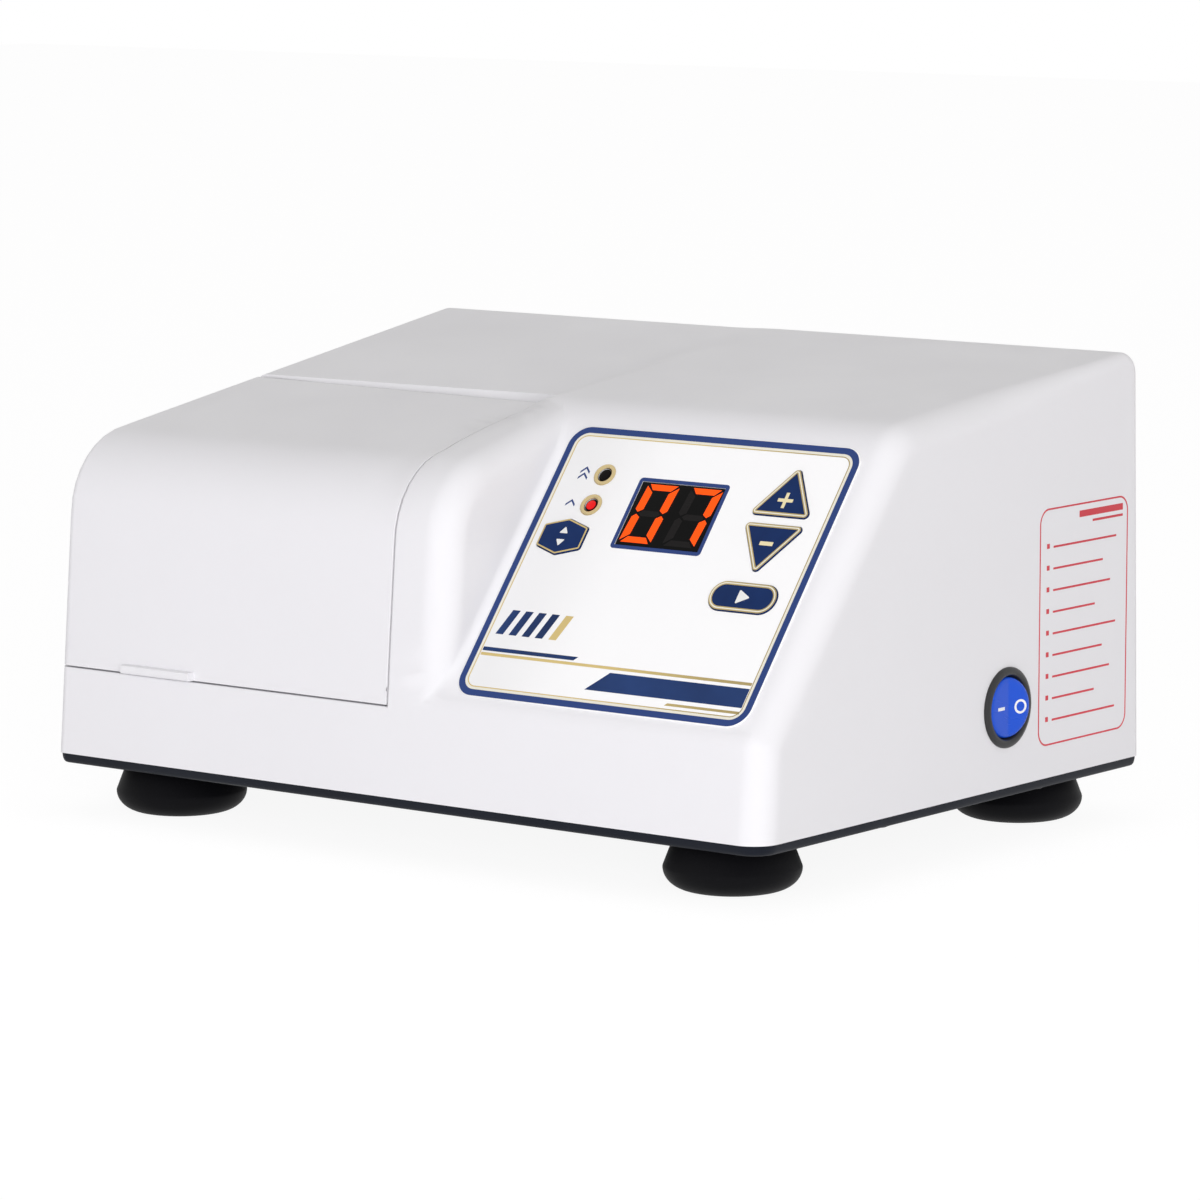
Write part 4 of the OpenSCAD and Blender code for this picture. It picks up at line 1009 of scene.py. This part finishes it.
DOME = [(2.5, -10), (2.5, -9), (1.9, -9), (1.9, 0.3), (1.75, 0.42), (1.2, 0.5), (0.5, 0.52)]
GLOW = [(1.5, 0.3), (1.5, 0.52), (1.35, 0.62), (0.9, 0.72), (0.4, 0.75)]
RING = [(3.5, FILM), (3.5, 0.62), (3.3, 0.86), (3.0, 1.0), (2.7, 1.0), (2.35, 0.82), (2.1, 0.5), (2.1, FILM)]
for name, at in LAMPS.items():
    def at_lamp(c, w):
        return on_panel(c, w, at)

    lit_one = name == "led_low"
    place(smooth(lathe(name + "_lens", DOME, at_lamp, 32)), LED_DARK, "case", "led_dark", name)
    if lit_one:
        place(smooth(lathe("led_glow", GLOW, at_lamp, 32)), LED_RED, "case", "led_red")
    ring = smooth(lathe(name + "_ring", RING, at_lamp, 48, True), 50)
    place(ring, GOLD, "case", "gold_trim", *(["led_rings"] if lit_one else []))
print("lamps", len(LAMPS))

# %% [markdown]
# ## Display
# A dark pane covers a two-digit module whose lit segments shine through. The digits could be letters of a
# font, but each segment is a light of its own. So seven slanted polygons make a digit, and a list says which
# of them are lit. They lie just below the face of the pane.

# %% Pane and digits
pane = inset_stack("display_pane", WINDOW, [(1.1, -4), (1.1, 0.36), (1.2, 0.44), (1.32, FILM)])
place(smooth(pane, 40), GLASS, "case", "display_glass", "display_window")
place(ink_ring("display_frame", WINDOW, -0.2, 1.0, FILM), NAVY, "case", "overlay")

LEVEL = np.array([(-4.8, 9.6), (-3.1, 7.7), (3.1, 7.7), (4.8, 9.6)])
UPRIGHT = np.array([(5.45, 9.0), (5.45, 1.25), (4.35, 0.35), (2.85, 1.3), (2.85, 6.9)])
MIDDLE_BAR = np.array([(-3.7, 0), (-2.5, -0.95), (2.5, -0.95), (3.7, 0), (2.5, 0.95), (-2.5, 0.95)])
SEGMENTS = {"a": LEVEL, "d": LEVEL * [1, -1], "g": MIDDLE_BAR, "b": UPRIGHT, "c": UPRIGHT * [1, -1],
            "f": UPRIGHT * [-1, 1], "e": UPRIGHT * [-1, -1]}
DIGITS = [((57.1, 66.3), "abcdef"), ((72.0, 66.3), "abc")]
LEAN = 0.085


def segment(kind, centre):
    p = SEGMENTS[kind] + SEGMENTS[kind][:, ::-1] * [LEAN, 0]
    return ink_patch("segment", p, 0.455, centre, 0.03)


for name, ink, lit in (("digits_lit", LIT, True), ("digits_dark", UNLIT, False)):
    parts = [segment(k, centre) for centre, on in DIGITS for k in SEGMENTS if (k in on) == lit]
    place(join(name, parts), ink, "case", "display_glass")
    print(name, "segments", len(parts))

# %% [markdown]
# ## Feet
# Four turned rubber feet carry the machine. They could be plain drums, but the real ones are a round bowl
# with a cone on it. A turned profile gives that, with a recess for the screw below.

# %% Turn the feet
ARC = np.linspace(0.12, math.pi / 2, 14)
BOWL = [(11.6 + 7.5 * math.sin(a), 0.05 + 6.1 * (1 - math.cos(a))) for a in ARC]
FOOT = [(2.25, 6.0), (5.5, 6.0), (5.5, 0.4), (5.9, 0.0), (11.2, 0.0), *BOWL, (19.0, 6.6), (18.8, 7.1),
        (16.1, 14.2), (15.8, PLATE_Z), (2.25, PLATE_Z)]


for x, y in sorted(FEET, key=lambda at: at[1]):
    name = "foot_" + ("front_" if y < 0 else "rear_") + ("left" if x < 0 else "right")
    turned = stack(name + "_rubber", [at_level(circle(r, 96) + [x, y], z) for r, z in FOOT], True)
    place(smooth(turned, 40), RUBBER, "case", "rubber", name)
print("feet", len(FEET))

# %% [markdown]
# ## Base plate
# A dished black plate closes the case below. It could be cut from flat sheet, but in the photograph its lower
# edge is rounded and drawn in. So its outline is stacked at several heights, each further in.

# %% Dish the plate
PLATE_OUTLINE = [(-HALF_W, -HALF_D, 3.4), (HALF_W, -HALF_D, 8), (HALF_W, HALF_D, 3.6), (-HALF_W, HALF_D, 3.4)]
DISH = [(2.2, PLATE_Z), (1.6, 14.56), (1.1, 14.8), (0.75, 15.2), (0.5, 15.8), (0.35, 16.6), (0.25, BASE)]
plate = stack("base_plate_dished", [at_level(loop(PLATE_OUTLINE, i), z) for i, z in DISH])
bores = [along_z((13, 19), r, x, y, 24) for r, places in ((2.1, FEET + ISOLATORS), (1.95, POSTS),
                                                          (1.65, TUB_HOLES + BOARD_HOLES)) for x, y in places]
carve(plate, join("bores", bores))
place(smooth(plate, 40), PLATE, "case", "base_black", "base_plate")
print("plate faces", len(plate.data.polygons))

# %% [markdown]
# ## Power switch
# A round rocker switch sits in the right wall. Its bezel is turned, and its rocker is a round cap whose
# face is two planes that meet over the pivot, so that one half is in and the other stands out.


# %% Bezel and rocker
def at_switch(c, x):
    """Points (to the rear, up) about the switch's centre, x millimetres outside the wall."""
    return np.column_stack([HALF_W + x + 0 * c[:, 0], SWITCH_Y + c[:, 0], BASE + SWITCH_H + c[:, 1]])


BEZEL = [(9.9, -20), (9.9, 0), (11.5, 0), (11.5, 0.5), (11.35, 0.8), (11.0, 1.05), (10.4, 1.25), (9.9, 1.3),
         (9.4, 1.1), (9.1, 0.6), (9.05, -6.6), (0.5, -6.6), (0.5, -20)]
switch_ring = smooth(lathe("switch_ring", BEZEL, at_switch, 96, True), 40)
place(switch_ring, GLOSS, "case", "gloss_black", "switch_bezel")

PIN_IN, SWING, FACE, EYE = -2.0, math.radians(18), 0.6, -3.0


def rocker_field(x, y, z):
    """Below zero inside the rocker; x is height over the wall, y runs to the rear."""
    side = np.hypot(y, z) - 8.6
    ball = np.sqrt((x - PIN_IN) ** 2 + y * y + z * z) - 8.88
    flat, raised = x - FACE, (x - FACE) * math.cos(SWING) - y * math.sin(SWING)
    face = -rounded_max(-flat, -raised, 1.5, math.cos(SWING))
    return rounded_max(rounded_max(side, ball, 0.3, 0.5), face, 0.7)


def rocker(n=96):
    """Rays from a point inside the cap find its skin, ring by ring."""
    turn = np.arange(n) * 2 * math.pi / n
    rings = []
    for e in np.radians(np.concatenate([[0], np.linspace(8, 52, 18), np.linspace(54, 89.9, 12)])):
        dx, dy, dz = math.sin(e), math.cos(e) * np.cos(turn), math.cos(e) * np.sin(turn)
        t = leave_at(lambda t: rocker_field(EYE + t * dx, t * dy, t * dz) > 0, turn, 20.0, 30)
        rings.append(at_switch(np.column_stack([t * dy, t * dz]), EYE + t * dx))
    return stack("rocker_cap", rings)


place(smooth(rocker(), 60), BLUE, "rocker", "blue_rocker", "switch_rocker")


# %% Marks on the rocker
def on_rocker(flat, w, raised):
    """Points (to the rear, up) on the rocker's front or raised half."""
    rise = math.tan(SWING) * flat[:, 0] if raised else 0
    return at_switch(flat, FACE + w + rise)


on_bar = np.array([(-5.2, -.45), (-1.9, -.45), (-1.9, .45), (-5.2, .45)])
off_ring = [(2.05, -.05), (2.05, .04), (1.4, .04), (1.4, -.05)]
marks = [stack("on_mark", [on_rocker(on_bar, w, False) for w in (-.05, .04)]),
         stack("off_mark", [on_rocker(circle(r, 40) + [4.1, 0], w, True) for r, w in off_ring], True)]
place(join("rocker_marks", marks), MARK, "rocker", "blue_rocker")
print("switch made")

# %% [markdown]
# ## Fuse cap
# The fuse beside the mains socket is held by a bayonet cap that opens with a coin or a screwdriver. It could
# be a plain disc, but then nobody would see how it turns. So the cap is turned with a raised rim, cut with a
# slot, and notched round its edge for the fingers.


# %% Turn the fuse cap
def at_fuse(c, w):
    return on_rear(c, w, FUSE_X)


CAP_PROFILE = [(0.5, -30), (6.5, -30), (6.5, 0), (7.5, 0), (7.5, 0.8), (7.3, 1.15), (6.9, 1.38), (6.0, 1.4),
               (5.7, 1.2), (5.5, 0.9), (0.5, 0.9)]
fuse_cap = lathe("fuse_cap", CAP_PROFILE, at_fuse, 96)
notches = [stack("notch", [at_fuse(circle(0.55, 16) + spot, w) for w in (0.3, 2)])
           for spot in circle(7.7, 18)]
COIN_SLOT = [(-4.6, -0.6), (4.6, -0.6), (4.6, 0.6), (-4.6, 0.6)]
carve(fuse_cap, join("notches", notches))
carve(fuse_cap, stack("slot", [at_fuse(COIN_SLOT, w) for w in (-0.4, 2)]))
place(smooth(fuse_cap, 40), GUIDE, "case", "black_plastic", "fuse_holder")
print("fuse cap faces", len(fuse_cap.data.polygons))

# %% [markdown]
# ## Side panel print
# The right wall carries a thin red frame with ruled lines in the same ink. It could be a decal with its own
# film, but such frames are printed straight on the wall. So every line is a thin layer of ink, with a heavy
# rule as the heading and a small square before each line.

# %% Rule the frame
SIDE_FRAME = slab(46.3, 68, 4.5, 39.5, 9.3)
LINES = [(60, 83, 73.2, 1.9), (67, 83, 71.4, 0.7)]
for k in range(9):
    h = 65.8 - 6.2 * k
    LINES += [(43.2, 44.6, h, 1.4), (46.6, 46.6 + (33, 26, 30, 22)[k % 4], h, 0.6)]


def on_side(flat, w):
    flat = np.asarray(flat, float)
    return np.column_stack([np.full(len(flat), HALF_W + w), flat[:, 0], BASE + flat[:, 1]])


edges = [on_side(loop(SIDE_FRAME, i), w) for i, w in ((0, 0), (0, INK), (0.5, INK), (0.5, 0))]
frame_line = stack("line", edges, True)
rules = [stack("rule", [on_side([(y0, h), (y1, h), (y1, h + thick), (y0, h + thick)], w) for w in (0, INK)])
         for y0, y1, h, thick in LINES]
place(join("side_label", [frame_line] + rules), RED_INK, "case")
print("ruled lines", len(rules))

# %% [markdown]
# ## Floor, light and background
# The photograph is a white product shot. The floor stays a real white surface that takes the shadow, and
# only the camera, mirrors and glass see it and the backdrop as white. The lamps stay at a level at which a
# colour renders about as it is written, and they throw no glare of their own.


# %% Floor and background
def seen_directly(t):
    """One for rays from the camera, mirrors and glass, and zero for the light that falls on things."""
    path = node(t, "ShaderNodeLightPath").outputs
    both = maths(t, "MAXIMUM", path["Is Camera Ray"], path["Is Glossy Ray"])
    return maths(t, "MAXIMUM", both, path["Is Transmission Ray"])


def white_stage():
    m = bpy.data.materials.new("floor_white")
    m.use_nodes = True
    t = m.node_tree
    t.nodes.clear()
    diffuse = node(t, "ShaderNodeBsdfDiffuse", {"Color": (0.98, 0.97, 0.99, 1)})
    glow = node(t, "ShaderNodeEmission", {"Color": (1, 1, 1, 1), "Strength": 1.07})
    share = maths(t, "MULTIPLY", seen_directly(t), 0.85)
    mix = node(t, "ShaderNodeMixShader", {0: share, 1: diffuse.outputs[0], 2: glow.outputs[0]})
    node(t, "ShaderNodeOutputMaterial", {0: mix.outputs[0]})
    return m


FLOOR = np.array([(-1, -1, 0), (1, -1, 0), (1, 1, 0), (-1, 1, 0)]) * 4000
floor = new_mesh("floor", FLOOR, [(0, 1, 2, 3)])
dress(floor, white_stage())

world = bpy.data.worlds.new("studio")
bpy.context.scene.world = world
world.use_nodes = True
wt = world.node_tree
wt.nodes.clear()
soft = node(wt, "ShaderNodeBackground", {"Color": (1.0, 0.985, 0.97, 1), "Strength": 0.5})
bright = node(wt, "ShaderNodeBackground", {"Color": (1, 1, 1, 1), "Strength": 1.0})
wmix = node(wt, "ShaderNodeMixShader", {0: seen_directly(wt), 1: soft.outputs[0], 2: bright.outputs[0]})
node(wt, "ShaderNodeOutputWorld", {0: wmix.outputs[0]})

# %% Lamps of the studio
MIDDLE, LAMP_FAR, LAMP_SIZE = Vector((0, 0, 0.06)), 2.6, 1.3


def lamp(name, azimuth, elevation, power, colour=(1, 1, 1)):
    light = bpy.data.lights.new(name, "AREA")
    light.shape, light.size, light.energy, light.color = "DISK", LAMP_SIZE, power, colour
    aim(bpy.data.objects.new(name, light), MIDDLE, azimuth, elevation, LAMP_FAR).visible_glossy = False


lamp("key_light", 42, 8, 44)
lamp("front_light", 0, 8, 6.5, (0.9, 0.89, 1.0))
print("stage ready")
